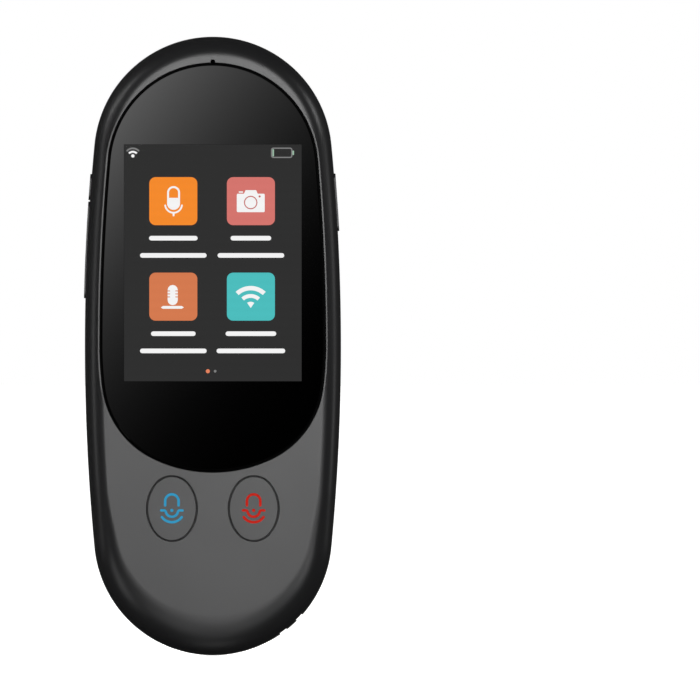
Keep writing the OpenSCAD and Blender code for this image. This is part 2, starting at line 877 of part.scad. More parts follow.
module speaker_magnet() {
    magnet_r = speaker_r / 2;
    magnet_h = speaker_h - basket_h;
    color("#8d9095")
        place()
            at_speaker(speaker_z + basket_h)
                polygon([[0, 0], [magnet_r - 0.4, 0], [magnet_r, 0.3], [magnet_r, magnet_h - 0.2],
                    [magnet_r - 0.4, magnet_h], [0, magnet_h]]);
}
module speaker_ring() {
    color("#28282a")
        place()
            at_speaker(floor_t)
                translate([ring_inner, 0])
                    square([speaker_r - ring_inner, ring_t]);
}
module speaker_cloth() {
    color("#141416")
        place()
            at_speaker(floor_t)
                square([ring_inner - fit_gap, 0.12]);
}

// ---- Camera ----

module at_camera() {
    translate([0, camera_mid, 0])
        rotate_extrude($fn = 96)
            children();
}
lip_z = 0.55;
glass_disc_r = chrome_bore_r + 0.2;
disc_t = 0.6;
flange_z = floor_t + 0.05;
ring_flange = 0.5;
barrel_z = lip_z + disc_t + 0.2;
module camera_ring() {
    color("#d9dadc")
        place()
            at_camera()
                polygon([[chrome_bore_r, chrome_sink + 0.15], [chrome_bore_r + 0.13, chrome_sink],
                    [chrome_r - 0.13, chrome_sink], [chrome_r, chrome_sink + 0.15],
                    [chrome_r, lip_z + 0.05], [camera_hole_r - fit_gap, lip_z + 0.05],
                    [camera_hole_r - fit_gap, flange_z], [camera_hole_r + ring_flange, flange_z],
                    [camera_hole_r + ring_flange, flange_z + 0.4], [glass_disc_r + 0.05, flange_z + 0.4],
                    [glass_disc_r + 0.05, lip_z], [chrome_bore_r, lip_z]]);
}
module camera_window() {
    color([0.2, 0.22, 0.24, 0.5])
        place()
            translate([0, camera_mid, lip_z])
                cylinder(disc_t, r = glass_disc_r, $fn = 96);
}
module camera_barrel() {
    color("#3a3a3c")
        place()
            at_camera()
                polygon([[lens_r + 0.1, barrel_z + 0.3], [lens_r + 0.3, barrel_z],
                    [barrel_r - 0.6, barrel_z], [barrel_r - 0.55, barrel_z + 0.3],
                    [barrel_r, barrel_z + 0.3], [barrel_r, barrel_z + barrel_h],
                    [lens_r + 0.1, barrel_z + barrel_h]]);
}
lens_dome_r = 4.5;
module camera_lens() {
    color("#233330")
        place()
            translate([0, camera_mid, barrel_z + 0.1])
                intersection() {
                    cylinder(1.2, r = lens_r);
                    translate([0, 0, lens_dome_r])
                        sphere(lens_dome_r, $fn = 96);
                }
}
module camera_module() {
    color("#26262a")
        place()
            block([-module_w / 2, camera_mid - module_w / 2, barrel_z + barrel_h],
                [module_w / 2, camera_mid + module_w / 2, board_h - fit_gap]);
}

// ---- Socket and microphone ----

module socket_shell() {
    color("#c9cbce")
        place()
            difference() {
                along_socket(socket_mouth - socket_l, socket_mouth)
                    socket_outline(0);
                along_socket(socket_mouth - socket_l + socket_t, socket_mouth + 1)
                    socket_outline(-socket_t);
            }
}
tongue_w = 6.7;
contact_t = 0.7;
module socket_tongue() {
    back = socket_mouth - socket_l + socket_t;
    color("#1a1a1c")
        place() {
            along_socket(back, socket_mouth - 0.8)
                square([tongue_w, contact_t], center = true);
            along_socket(back, back + 1.4)
                socket_outline(-socket_t - 0.05);
        }
}
module microphone() {
    color("#b8b29a")
        place()
            translate([0, mic_mid, board_top + mic_size.z / 2])
                cube(mic_size, center = true);
}
boot_r = 1.25;
module microphone_boot() {
    color("#2a2a2a")
        place()
            translate([0, mic_mid, board_top + mic_size.z])
                difference() {
                    cylinder(panel_z - board_top - mic_size.z, r = boot_r);
                    translate([0, 0, -1])
                        cylinder(panel_t + panel_z, r = mic_hole_r);
                }
}

// ---- Talk keys ----

key_slack = 0.1;
pad_top = panel_z - key_slack - key_flange_t - key_travel - 0.05;
pad_sheet = 0.4;
pad_wall = 1;
dome_r = 3;
dome_h = 0.35;
nub_r = 1.6;
module at_key(side) {
    translate([side * key_pitch / 2, -key_drop])
        children();
}
module talk_key(side) {
    place() {
        slab(panel_z - key_slack - key_flange_t, panel_t + key_slack + key_flange_t)
            at_key(side)
                oval(key_w / 2 - key_gap, key_h / 2 - key_gap, key_side_r - key_gap);
        slab(panel_z - key_slack - key_flange_t, key_flange_t)
            at_key(side)
                oval(key_w / 2 + key_flange, key_h / 2 + key_flange, key_side_r + key_flange);
    }
}
module talk_key_left() {
    color("#5a5b5d")
        talk_key(-1);
}
module talk_key_right() {
    color("#5a5b5d")
        talk_key(1);
}
module key_pad() {
    outer = [key_pitch + key_w + 1, key_h + 1.4];
    color("#9a9a98")
        place()
            difference() {
                translate([0, -key_drop, board_top])
                    difference() {
                        slab(0, pad_top - board_top)
                            rounded(outer, 3);
                        slab(-1, pad_top - board_top - pad_sheet + 1)
                            difference() {
                                rounded(outer - 2 * [pad_wall, pad_wall], 2);
                                for (s = [-1, 1])
                                    translate([s * key_pitch / 2, 0])
                                        circle(nub_r);
                            }
                    }
                for (s = [-1, 1])
                    translate([s * key_pitch / 2, -key_drop, board_top - 1])
                        cylinder(1 + dome_h + 0.05, r = nub_r + 0.5);
            }
}
module key_domes() {
    dome_sphere = (dome_r * dome_r + dome_h * dome_h) / (2 * dome_h);
    color("#d6d6d2")
        place()
            for (s = [-1, 1])
                translate([s * key_pitch / 2, -key_drop, board_top])
                    rotate_extrude()
                        intersection() {
                            translate([0, dome_h - dome_sphere])
                                circle(dome_sphere, $fn = 360);
                            square([dome_r, dome_h]);
                        }
}

// ---- Side keys ----

cap_slack = 0.1;
flange_in = rim_side + cap_slack;
nub_in = flange_in + cap_flange_t + 0.25;
plunger_in = nub_in + cap_travel + 0.05;
switch_in = plunger_in + 0.55;
press_z = board_h - switch_h / 2;
wing = 0.65;
rocker_mid = rocker_from + rocker_l / 2;
rocker_reach = 6.5;
rocker_clear = 0.3;
module side_block(y, z, half_y, half_z, shallow, deep) {
    block([side_x(y) - deep, y - half_y, z - half_z],
        [side_x(y) - shallow, y + half_y, z + half_z]);
}
module press_nub(y) {
    side_block(y, press_z, 0.8, 0.3, flange_in + cap_flange_t / 2, nub_in);
}
module plain_cap(from, to, wing_low) {
    place() {
        side_bar(from, to, cap_z, cap_h, cap_corner, -cap_proud, flange_in + 0.1);
        side_bar(from - wing_low, to + wing, cap_z, cap_h + 2 * wing, 0.4,
            flange_in, flange_in + cap_flange_t);
        press_nub((from + to) / 2);
    }
}
module power_key() {
    color("#2e2f31")
        plain_cap(power_from, power_to, wing);
}
module function_key() {
    color("#2e2f31")
        mirror([1, 0, 0])
            plain_cap(function_from, function_to, 0);
}
module volume_rocker() {
    color("#2e2f31")
        mirror([1, 0, 0])
            place() {
                side_bar(rocker_from, rocker_from + rocker_l, cap_z, cap_h, cap_corner,
                    -cap_proud, flange_in + rocker_clear);
                side_bar(rocker_mid - 2.5, rocker_mid + 2.5, cap_z, cap_h + 2 * wing, 0.4,
                    flange_in, flange_in + cap_flange_t);
                for (s = [-1, 1])
                    let (y = rocker_mid + s * rocker_reach) {
                        side_block(y, cap_z - 0.7, 0.8, 1.15,
                            flange_in + rocker_clear - 0.1, flange_in + cap_flange_t);
                        press_nub(y);
                    }
            }
}
module side_switch(y) {
    side_block(y, press_z, switch_l / 2, switch_h / 2, switch_in, switch_in + switch_w);
    side_block(y, press_z, 0.7, 0.35, plunger_in, switch_in + 0.1);
}
module side_switches() {
    color("#d8d4c8")
        place() {
            side_switch((power_from + power_to) / 2);
            mirror([1, 0, 0])
                for (y = [rocker_mid - rocker_reach, rocker_mid + rocker_reach,
                    (function_from + function_to) / 2])
                    side_switch(y);
        }
}
antenna_h = 2.8;
antenna_from = 20;
antenna_to = 70;
module antenna_strip() {
    r = CAVITY_END[1][1] - fit_gap / 2;
    color("#b5803a")
        place()
            slab(board_top + 0.4, antenna_h)
                ring_sector(CAVITY_END[1][0].y, r - flex_t, r, antenna_from, antenna_to);
}

front_shell();
back_shell();
display_window();
window_tape();
screen_seal();
screen_panel();
screen_backlight();
screen_bracket();
screen_flex();
screen_connector();
main_board();
board_screws();
processor_shield();
memory_chips();
battery_cell();
battery_tape();
battery_plug();
speaker_frame();
speaker_cone();
speaker_magnet();
speaker_ring();
speaker_cloth();
camera_ring();
camera_window();
camera_barrel();
camera_lens();
camera_module();
socket_shell();
socket_tongue();
microphone();
microphone_boot();
key_pad();
key_domes();
side_switches();
antenna_strip();
talk_key_left();
talk_key_right();
function_key();
volume_rocker();
power_key();
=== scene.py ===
from math import acos, asin, atan2, cos, pi, radians, sin, sqrt

import bmesh
import bpy
from mathutils import Matrix, Vector


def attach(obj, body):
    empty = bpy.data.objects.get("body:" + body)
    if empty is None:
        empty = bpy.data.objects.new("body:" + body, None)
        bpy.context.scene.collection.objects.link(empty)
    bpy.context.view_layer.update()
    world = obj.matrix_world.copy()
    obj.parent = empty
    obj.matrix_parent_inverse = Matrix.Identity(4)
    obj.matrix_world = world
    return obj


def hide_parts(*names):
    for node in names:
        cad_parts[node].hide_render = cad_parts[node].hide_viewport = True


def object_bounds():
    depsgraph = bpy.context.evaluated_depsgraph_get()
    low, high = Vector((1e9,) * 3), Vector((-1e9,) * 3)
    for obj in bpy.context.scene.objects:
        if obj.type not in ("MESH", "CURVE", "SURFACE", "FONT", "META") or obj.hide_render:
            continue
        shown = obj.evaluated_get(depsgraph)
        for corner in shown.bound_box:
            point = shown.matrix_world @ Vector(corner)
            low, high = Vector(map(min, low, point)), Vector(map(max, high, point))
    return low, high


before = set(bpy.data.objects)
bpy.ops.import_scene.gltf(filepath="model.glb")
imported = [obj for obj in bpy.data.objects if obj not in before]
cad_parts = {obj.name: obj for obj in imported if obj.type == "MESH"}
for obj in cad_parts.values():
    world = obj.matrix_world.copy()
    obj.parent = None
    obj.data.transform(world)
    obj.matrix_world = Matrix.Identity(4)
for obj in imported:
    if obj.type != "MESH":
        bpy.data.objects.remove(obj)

scene = bpy.context.scene
cad_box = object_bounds()
MM = 0.001

# ---- Viewpoint ----
# A long lens looks straight at the front from four metres. The device stands left
# of the middle, so the camera stands to its right and still looks straight ahead.
FRAME_PIXELS = 700
MM_PER_PIXEL = 0.20696
DEVICE_MIDDLE = (212.97, 346.05)  # its place in the view, in pixels
SENSOR_W, VIEW_FAR = 36, 4.0
lens = bpy.data.cameras.new("front_lens")
lens.sensor_width = SENSOR_W
lens.lens = SENSOR_W * VIEW_FAR / (FRAME_PIXELS * MM_PER_PIXEL * MM)
lens.clip_start, lens.clip_end = 0.1, 100
scene.camera = bpy.data.objects.new("front_camera", lens)
scene.collection.objects.link(scene.camera)
aside = (FRAME_PIXELS / 2 - DEVICE_MIDDLE[0]) * MM_PER_PIXEL * MM
above = (DEVICE_MIDDLE[1] - FRAME_PIXELS / 2) * MM_PER_PIXEL * MM
scene.camera.location = (aside, -VIEW_FAR, above)
scene.camera.rotation_euler = (pi / 2, 0, 0)

# ---- Floor, backdrop and lights ----
# A pale floor under the round end and a white surround that only the camera sees, so
# the dark housing reflects nothing but the soft lights.
scene.view_settings.view_transform = "Standard"


def linear(code):
    """An sRGB hex colour as linear red, green and blue, and an alpha of one."""
    parts = [int(code[i:i + 2], 16) / 255 for i in (1, 3, 5)]
    return [p / 12.92 if p <= 0.04045 else ((p + 0.055) / 1.055) ** 2.4 for p in parts] + [1.0]


def add_node(tree, kind, inputs=None, **settings):
    """Adds a node. Settings are its attributes; inputs are values, or sockets that feed it."""
    node = tree.nodes.new(kind)
    for name, value in settings.items():
        setattr(node, name, value)
    for name, value in (inputs or {}).items():
        if isinstance(value, bpy.types.NodeSocket):
            tree.links.new(value, node.inputs[name])
        else:
            node.inputs[name].default_value = value
    return node


def new_surface(name, code, rough):
    """A material, its node tree, its main shader and the coordinates that patterns read."""
    made = bpy.data.materials.new(name)
    made.use_nodes = True
    tree = made.node_tree
    shader = tree.nodes["Principled BSDF"]
    shader.inputs["Base Color"].default_value = linear(code)
    shader.inputs["Roughness"].default_value = rough
    return made, tree, shader, add_node(tree, "ShaderNodeTexCoord").outputs["Object"]


world = bpy.data.worlds.new("studio")
scene.world = world
world.use_nodes = True
sky = world.node_tree.nodes["Background"]
seen = add_node(world.node_tree, "ShaderNodeLightPath").outputs["Is Camera Ray"]
DARK_ROOM, WHITE_WALL = 0.04, 1.0
level = add_node(world.node_tree, "ShaderNodeMapRange",
    {"Value": seen, "To Min": DARK_ROOM, "To Max": WHITE_WALL}).outputs["Result"]
world.node_tree.links.new(level, sky.inputs["Strength"])
sky.inputs["Color"].default_value = (1, 1, 1, 1)


def add_board(name, half, place):
    """A square board of the studio, which isn't part of the device."""
    bm = bmesh.new()
    bmesh.ops.create_grid(bm, x_segments=1, y_segments=1, size=half, matrix=place)
    mesh = bpy.data.meshes.new(name)
    bm.to_mesh(mesh)
    board = bpy.data.objects.new(name, mesh)
    scene.collection.objects.link(board)
    return board


FLOOR_HALF, FLOOR_GAP = 30, 0.0001
floor = add_board("floor", FLOOR_HALF, Matrix.Translation((0, 0, cad_box[0].z - FLOOR_GAP)))
floor.visible_diffuse = floor.visible_glossy = floor.visible_transmission = False
# Painted board: matt and pale, and lit so that only the shadow under the device shows
paper, tree, shader, place = new_surface("painted_board", "#e6e6e4", 0.9)
shader.inputs["Specular IOR Level"].default_value = 0.1
shader.inputs["Emission Color"].default_value = (1, 1, 1, 1)
shader.inputs["Emission Strength"].default_value = 0.72
floor.data.materials.append(paper)

# The cover glass mirrors only a gradient card, so the softboxes in front leave it out,
# and those behind leave out the front, whose rim they would outline
without_glass = bpy.data.collections.new("without_glass")
without_front = bpy.data.collections.new("without_front")
only_glass = bpy.data.collections.new("only_glass")


def leave_out(piece, group):
    """Makes the lights of a group pass over a piece."""
    group.objects.link(piece)
    group.collection_objects[-1].light_linking.link_state = "EXCLUDE"


def add_light(name, turn, rise, far, size, power, group=None):
    """A square softbox aimed at the middle, at degrees right of and above the front."""
    lamp = bpy.data.lights.new(name, "AREA")
    lamp.shape = "SQUARE"
    lamp.size = size
    lamp.energy = power
    box = bpy.data.objects.new(name, lamp)
    scene.collection.objects.link(box)
    turn, rise = radians(turn), radians(rise)
    box.location = Vector((sin(turn) * cos(rise), -cos(turn) * cos(rise), sin(rise))) * far
    box.rotation_euler = (-box.location).to_track_quat("-Z", "Y").to_euler()
    box.visible_camera = False
    if group:
        box.light_linking.receiver_collection = group


BIG, SMALL = (1.5, 0.35), (0.2, 0.08)  # distance and width, in metres
LIGHTS = (
    (without_glass, (
        ("under", 0, -70, *BIG, 0.46), ("low_front", 0, -45, *BIG, 0.38),
        ("low_left", -12, -30, *BIG, 0.96), ("low_right", 12, -30, *BIG, 0.89),
        ("low_main", 0, -15, *BIG, 1.77), ("right_low", 30, -15, *BIG, 2.0),
        ("front_main", 12, 0, *BIG, 2.16), ("front_middle", 0, 0, *BIG, 1.28),
        ("front_high", 12, 15, *BIG, 4.47), ("left_soft", -66, 34, *BIG, 1.8),
        ("left_low", -48, -25, *BIG, 1.2), ("front_near", 0, 10, 0.35, 0.1, 0.261))),
    (None, (
        ("left_edge", -84, 0, *BIG, 0.73), ("left_high", -84, 25, *BIG, 1.73),
        ("right_high", 84, 25, *BIG, 2.94), ("right_edge", 102, 0, *BIG, 0.75))),
    (without_front, (
        ("back_left", 132, -10, *BIG, 5.0), ("back_side", 120, 10, *BIG, 3.9),
        ("back_right", -132, 10, *BIG, 2.6), ("back_edge", -108, 10, *BIG, 1.5),
        ("back_beside", 143, 0, 0.13, 0.06, 0.04), ("back_high", 145, 24, *SMALL, 0.25),
        ("back_low", 158, -8, *SMALL, 0.066), ("back_near", 158, 8, *SMALL, 0.1))))
for group, boxes in LIGHTS:
    for box in boxes:
        add_light(*box, group)

# The card, two metres in front: bright at the upper left, black along a slanting line,
# and bright again beyond it. Its measure grows by these steps per metre across and up,
# and it glows with the measure's square and fourth power.
CARD_Y, CARD_HALF = -2.0, 0.45
CARD_ACROSS, CARD_UP, CARD_START, CARD_MOST = -8.008, 6.257, 0.2498, 1.2
GLOW_SQUARE, GLOW_FOURTH = 0.3075, 1.653
card = add_board("gradient_card", CARD_HALF,
    Matrix.Translation((0, CARD_Y, 0)) @ Matrix.Rotation(-pi / 2, 4, "X"))
card.visible_camera = card.visible_shadow = False
card.visible_diffuse = card.visible_transmission = False
card.light_linking.receiver_collection = only_glass
add_light("glass_sheen", -45, -25, 1.5, 0.9, 0.9, only_glass)
# Backlit diffuser film: glows by itself and reflects nothing
film_glow, tree, shader, place = new_surface("backlit_diffuser_film", "#000000", 0.5)
along = add_node(tree, "ShaderNodeVectorMath", {0: place, 1: (CARD_ACROSS, 0, CARD_UP)},
    operation="DOT_PRODUCT").outputs["Value"]
measure = add_node(tree, "ShaderNodeMapRange", {"Value": along,
    "From Min": -CARD_MOST - CARD_START, "From Max": CARD_MOST - CARD_START,
    "To Min": -CARD_MOST, "To Max": CARD_MOST}).outputs["Result"]
square = add_node(tree, "ShaderNodeMath", {0: measure, 1: measure},
    operation="MULTIPLY").outputs["Value"]
steep = add_node(tree, "ShaderNodeMath", {0: square, 1: GLOW_FOURTH, 2: GLOW_SQUARE},
    operation="MULTIPLY_ADD").outputs["Value"]
glow = add_node(tree, "ShaderNodeMath", {0: square, 1: steep},
    operation="MULTIPLY").outputs["Value"]
tree.links.new(glow, shader.inputs["Emission Strength"])
shader.inputs["Emission Color"].default_value = (1, 1, 1, 1)
shader.inputs["Specular IOR Level"].default_value = 0
card.data.materials.append(film_glow)

# A wide sun that only the floor takes
floor_sun = bpy.data.objects.new("floor_sun", bpy.data.lights.new("floor_sun", "SUN"))
scene.collection.objects.link(floor_sun)
floor_sun.rotation_euler = (radians(-20), radians(12), 0)
floor_sun.data.energy = 2.2
floor_sun.data.angle = radians(70)
floor_sun.visible_camera = False
only_floor = bpy.data.collections.new("only_floor")
only_floor.objects.link(floor)
floor_sun.light_linking.receiver_collection = only_floor

# ---- Front shell ----
# The front half of the housing, moulded in charcoal ABS with a fine satin texture. Its
# egg-shaped edge runs into a flat face with the window recess and two key holes.

# Plan millimetres: x across, y along the body, z up from the back
body_w, body_l, body_t = 53, 128, 13
half_w, half_l = body_w / 2, body_l / 2
SIDE_R = 440  # the long sides' slight curve
WIDEST_Z, SEAM_Z, PANEL_Z = 7.5, 4.6, 11
FRONT_SOFT = (3.9, 4.2, 8.5)  # how far the front edge rounds in: side, top, lower end
BACK_SOFT = (8.7, 9.2)  # the same at the back: side, ends
SOFT_FROM, SOFT_EASE = 30, 0.1  # where it starts to widen towards the lower end, and how
FINE = 0.8  # distance between an outline's points
upright = (Matrix.Scale(MM, 4) @ Matrix.Rotation(pi / 2, 4, "X")
    @ Matrix.Translation((0, 0, -body_t / 2)))


def round_end(w, l, side):
    """Arcs of a quarter outline, each a centre, a radius and the direction where it ends."""
    end = (2 * side * w - w * w - l * l) / (2 * (side - l))
    return [((w - side, 0), side, atan2(l - end, side - w)), ((0, l - end), end, pi / 2)]


def full_end(w, l, side, corner, end):
    """The same with a tighter corner arc between the side and a flatter end."""
    side_c, end_c = Vector((w - side, 0)), Vector((0, l - end))
    span = (end_c - side_c).length
    u = (end_c - side_c) / span
    along = ((side - corner) ** 2 - (end - corner) ** 2 + span * span) / (2 * span)
    out = sqrt((side - corner) ** 2 - along * along)
    corner_c = side_c + u * along + Vector((-u.y, u.x)) * out
    turn, last = corner_c - side_c, corner_c - end_c
    return [(tuple(side_c), side, atan2(turn.y, turn.x)),
        (tuple(corner_c), corner, atan2(last.y, last.x)), (tuple(end_c), end, pi / 2)]


def quarter(arcs, step):
    """Arcs and directions along a quarter outline, about a step apart."""
    spots, a = [], 0
    for centre, radius, last in arcs:
        count = max(1, round(radius * (last - a) / step))
        spots += [(centre, radius, a + (last - a) * i / count) for i in range(count)]
        a = last
    return spots + [(*arcs[-1][:2], a)]


def around(upper, lower, step=FINE):
    """The same along a whole outline, each spot with the signs of its quarter."""
    up, down = quarter(upper, step), quarter(lower, step)
    return ([(1, 1, *s) for s in up[:-1]] + [(-1, 1, *s) for s in up[:0:-1]]
        + [(-1, -1, *s) for s in down[:-1]] + [(1, -1, *s) for s in down[:0:-1]])


def at_spot(spot, inset, z):
    """The point under a spot of an outline, moved in by an inset, at a height."""
    sx, sy, centre, radius, a = spot
    return Vector((sx * (centre[0] + (radius - inset) * cos(a)),
        sy * (centre[1] + (radius - inset) * sin(a)), z))


def depth(upper, lower, x, y):
    """How far a point lies inside an outline, and in which direction its edge is."""
    for centre, radius, last in (upper if y >= 0 else lower):
        away = Vector((abs(x) - centre[0], abs(y) - centre[1]))
        a = atan2(away.y, away.x)
        if a <= last:
            break
    return radius - away.length, a


BODY = round_end(half_w, half_l, SIDE_R)


def front_soft(sy, a):
    """How far the front edge rounds in. Towards the bottom end it widens with the distance."""
    side, top, bottom = FRONT_SOFT
    if sy > 0:
        return side + (top - side) * sin(a) ** 2
    (_, y), radius, _ = BODY[0] if a <= BODY[0][2] else BODY[1]
    u = max(0, (y + radius * sin(a) - SOFT_FROM) / (half_l - SOFT_FROM))
    return side + (bottom - side) * u * u * (1 + SOFT_EASE) / (u + SOFT_EASE)


def back_soft(a):
    """How far the back edge rounds in, by the direction of its outline."""
    return BACK_SOFT[0] + (BACK_SOFT[1] - BACK_SOFT[0]) * sin(a) ** 2


def front_height(x, y):
    """Height of the front skin above the back, at a place in plan."""
    inside, a = depth(BODY, BODY, x, y)
    soft = front_soft(1 if y >= 0 else -1, a)
    if inside >= soft:
        return body_t
    return WIDEST_Z + (body_t - WIDEST_Z) * sin(acos(1 - max(0, inside) / soft))


def draw_loop(bm, points):
    """A closed loop of vertices and edges."""
    verts = [bm.verts.new(p) for p in points]
    return verts, [bm.edges.new(pair) for pair in zip(verts, verts[1:] + verts[:1])]


def extrude_loop(bm, loop, points):
    """Extrudes a loop of edges and puts the new loop's vertices on points."""
    verts, edges = loop
    fresh = {g for g in bmesh.ops.extrude_edge_only(bm, edges=edges)["geom"]
        if isinstance(g, bmesh.types.BMVert)}
    new = [next(e.other_vert(v) for e in v.link_edges if e.other_vert(v) in fresh) for v in verts]
    for v, p in zip(new, points):
        v.co = p
    return new, [bm.edges.get(pair) for pair in zip(new, new[1:] + new[:1])]


def loft(bm, rings):
    """A skin through rings of points. Returns its first and its last loop."""
    first = loop = draw_loop(bm, rings[0])
    for points in rings[1:]:
        loop = extrude_loop(bm, loop, points)
    return first, loop


def fill_flat(bm, loops, material=0):
    """Fills a flat outline, less the loops within it."""
    edges = [e for _, loop_edges in loops for e in loop_edges]
    made = bmesh.ops.triangle_fill(bm, use_beauty=True, use_dissolve=False, edges=edges)["geom"]
    for face in made:
        if isinstance(face, bmesh.types.BMFace):
            face.material_index = material


def rounded(width, height, r, centre=(0, 0), steps=6):
    """Points of a rectangle with rounded corners, in plan."""
    points = []
    for k, (sx, sy) in enumerate(((1, 1), (-1, 1), (-1, -1), (1, -1))):
        for i in range(steps + 1):
            a = pi / 2 * (k + i / steps)
            points.append((centre[0] + sx * (width / 2 - r) + r * cos(a),
                centre[1] + sy * (height / 2 - r) + r * sin(a)))
    return points


def prism(bm, points, along):
    """A closed solid: a flat outline pushed along a direction."""
    face = bm.faces.new([bm.verts.new(p) for p in points])
    out = bmesh.ops.extrude_face_region(bm, geom=[face])["geom"]
    bmesh.ops.translate(bm, verts=[g for g in out if isinstance(g, bmesh.types.BMVert)], vec=along)


def to_object(bm, name, *materials, move=upright):
    """Closes a mesh in plan millimetres into an object that stands in the frame."""
    bmesh.ops.recalc_face_normals(bm, faces=bm.faces)
    bm.transform(move)
    mesh = bpy.data.meshes.new(name)
    bm.to_mesh(mesh)
    bm.free()
    for m in materials:
        mesh.materials.append(m)
    made = bpy.data.objects.new(name, mesh)
    scene.collection.objects.link(made)
    return made


def cut(made, cutter, operation="DIFFERENCE"):
    """Cuts off or joins on another solid, and keeps the result as the mesh."""
    tool = made.modifiers.new("cut", "BOOLEAN")
    tool.object, tool.operation, tool.solver = cutter, operation, "EXACT"
    depsgraph = bpy.context.evaluated_depsgraph_get()
    done = bpy.data.meshes.new_from_object(made.evaluated_get(depsgraph))
    made.modifiers.remove(tool)
    made.data = done
    bpy.data.objects.remove(cutter)


def smooth(made, sharp=10):
    """Smooth shading that stays crisp at edges and level on flats."""
    made.data.shade_smooth()
    made.data.set_sharp_from_angle(angle=radians(sharp))
    even = made.modifiers.new("even_normals", "WEIGHTED_NORMAL")
    even.keep_sharp = True
    return made


def seat(made, body, slot, *nodes):
    """Fixes a piece to its body and hides the solids that it stands for. Its finish is not used."""
    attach(made, body)
    if nodes:
        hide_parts(*nodes)
    return made


# Window recess: the glass outline, a gap, a step for the glass and a narrow level rim
WINDOW_W, WINDOW_TOP_Y, WINDOW_FOOT_Y = 46, 58.15, 25.75
FOOT_SIDE_R, FOOT_CORNER_R, FOOT_END_R = 67, 18.5, 28
WINDOW_GAP, WINDOW_EDGE, RIM_W = 0.38, 0.08, 0.34
RECESS_Z = 11.95
window_top = round_end(WINDOW_W / 2, WINDOW_TOP_Y, SIDE_R)
window_foot = full_end(WINDOW_W / 2, WINDOW_FOOT_Y, FOOT_SIDE_R, FOOT_CORNER_R, FOOT_END_R)
PICTURE_W, PICTURE_H, PICTURE_Y = 36.72, 48.96, 17.2


def off_glass(x, y):
    """How far outside the glass a place lies in plan."""
    return -depth(window_top, window_foot, x, y)[0]


def where(test, low, high):
    """The value between two others from which a test holds."""
    for _ in range(30):  # halvings
        middle = (low + high) / 2
        low, high = (low, middle) if test(middle) else (middle, high)
    return high


def rounding(edge, steps):
    """Steps of a rounded edge from a face to a wall: how far each lies outward and down."""
    turns = [pi / 2 * i / steps for i in range(steps + 1)]
    return [(edge * (1 - sin(t)), edge * (1 - cos(t))) for t in turns]


LAND = 0.06  # the least flat between the rounded edge and the rim


def reach_in(spot):
    """How far the rounded edge runs in before the flat face or the window's rim."""
    soft = front_soft(spot[1], spot[4])

    def at_rim(inset):
        p = at_spot(spot, inset + LAND, 0)
        return off_glass(p.x, p.y) < WINDOW_GAP + RIM_W
    return where(at_rim, 0, soft) if at_rim(soft) else soft


WALL_SIDE, WALL_END = 2.3, 3.6
LEDGE_Z, GROOVE_WALL = 5.7, 1.4  # the groove that takes the back shell's tongue
SKIN_RINGS = 26
LIP, LIP_STEPS = 0.12, 3  # the small rounding of both shells at the seam
FLANK_STEP, FLANK_RINGS = 0.6, 4
body_spots = around(BODY, BODY)
shell = bmesh.new()
inner = [[at_spot(s, WALL_SIDE + (WALL_END - WALL_SIDE) * sin(s[4]) ** 2, z) for s in body_spots]
    for z in (PANEL_Z, LEDGE_Z)]
inner += [[at_spot(s, GROOVE_WALL, z) for s in body_spots] for z in (LEDGE_Z, SEAM_Z)]


def below_widest(spot, z):
    """Inset of the skin under its widest line, at a height."""
    return back_soft(spot[4]) * (1 - cos(asin((z - WIDEST_Z) / WIDEST_Z)))


lips = [[at_spot(s, below_widest(s, SEAM_Z + up) + away, SEAM_Z + up) for s in body_spots]
    for away, up in rounding(LIP, LIP_STEPS)]
flank = [[at_spot(s, below_widest(s, z), z) for s in body_spots]
    for z in (SEAM_Z + FLANK_STEP * k for k in range(1, FLANK_RINGS + 1))]
reaches = [reach_in(s) for s in body_spots]
tilts = [acos(1 - r / front_soft(s[1], s[4])) for s, r in zip(body_spots, reaches)]
skin = [[at_spot(s, front_soft(s[1], s[4]) * (1 - cos(t * k / SKIN_RINGS)),
    WIDEST_Z + (body_t - WIDEST_Z) * sin(t * k / SKIN_RINGS)) for s, t in zip(body_spots, tilts)]
    for k in range(SKIN_RINGS + 1)]
inner_loop, face_loop = loft(shell, inner + lips + flank + skin)

MID = 0.3  # where the middle of a rounding in two steps lies, as a share of its size
window_spots = around(window_top, window_foot)
rim_at = [at_spot(s, -WINDOW_GAP - RIM_W, 0) for s in window_spots]
rim_z = [front_height(p.x, p.y) for p in rim_at]
rim = [[at_spot(s, -WINDOW_GAP - out, z - down) for s, z in zip(window_spots, rim_z)]
    for out, down in ((RIM_W, 0), (WINDOW_EDGE, 0), (WINDOW_EDGE * MID, WINDOW_EDGE * MID),
        (0, WINDOW_EDGE))]
rim_loop, step_loop = loft(shell,
    rim + [[at_spot(s, -WINDOW_GAP, RECESS_Z) for s in window_spots]])
# The step's faces take the second material, the dead black that is painted shade in the gap
for face in shell.faces:
    if set(face.verts) & set(step_loop[0]):
        face.material_index = 1
HOLE_CLEAR = 0.8  # what the panel's hole stands back from the picture
picture_hole = rounded(PICTURE_W + 2 * HOLE_CLEAR, PICTURE_H + 2 * HOLE_CLEAR, HOLE_CLEAR,
    (0, PICTURE_Y))
ledge_loop, back_hole_loop = loft(shell,
    [[Vector((*p, z)) for p in picture_hole] for z in (RECESS_Z, PANEL_Z)])
fill_flat(shell, [step_loop, ledge_loop], material=1)

# Two oval holes for the talk keys, with rounded edges
KEY_W, KEY_H, KEY_SIDE_R, KEY_PITCH, KEY_DROP = 10.5, 13.6, 8.2, 16.9, 33.6
KEY_EDGE, EDGE_STEPS, KEY_STEP = 0.16, 4, 0.4
key_oval = round_end(KEY_W / 2, KEY_H / 2, KEY_SIDE_R)
key_spots = around(key_oval, key_oval, KEY_STEP)


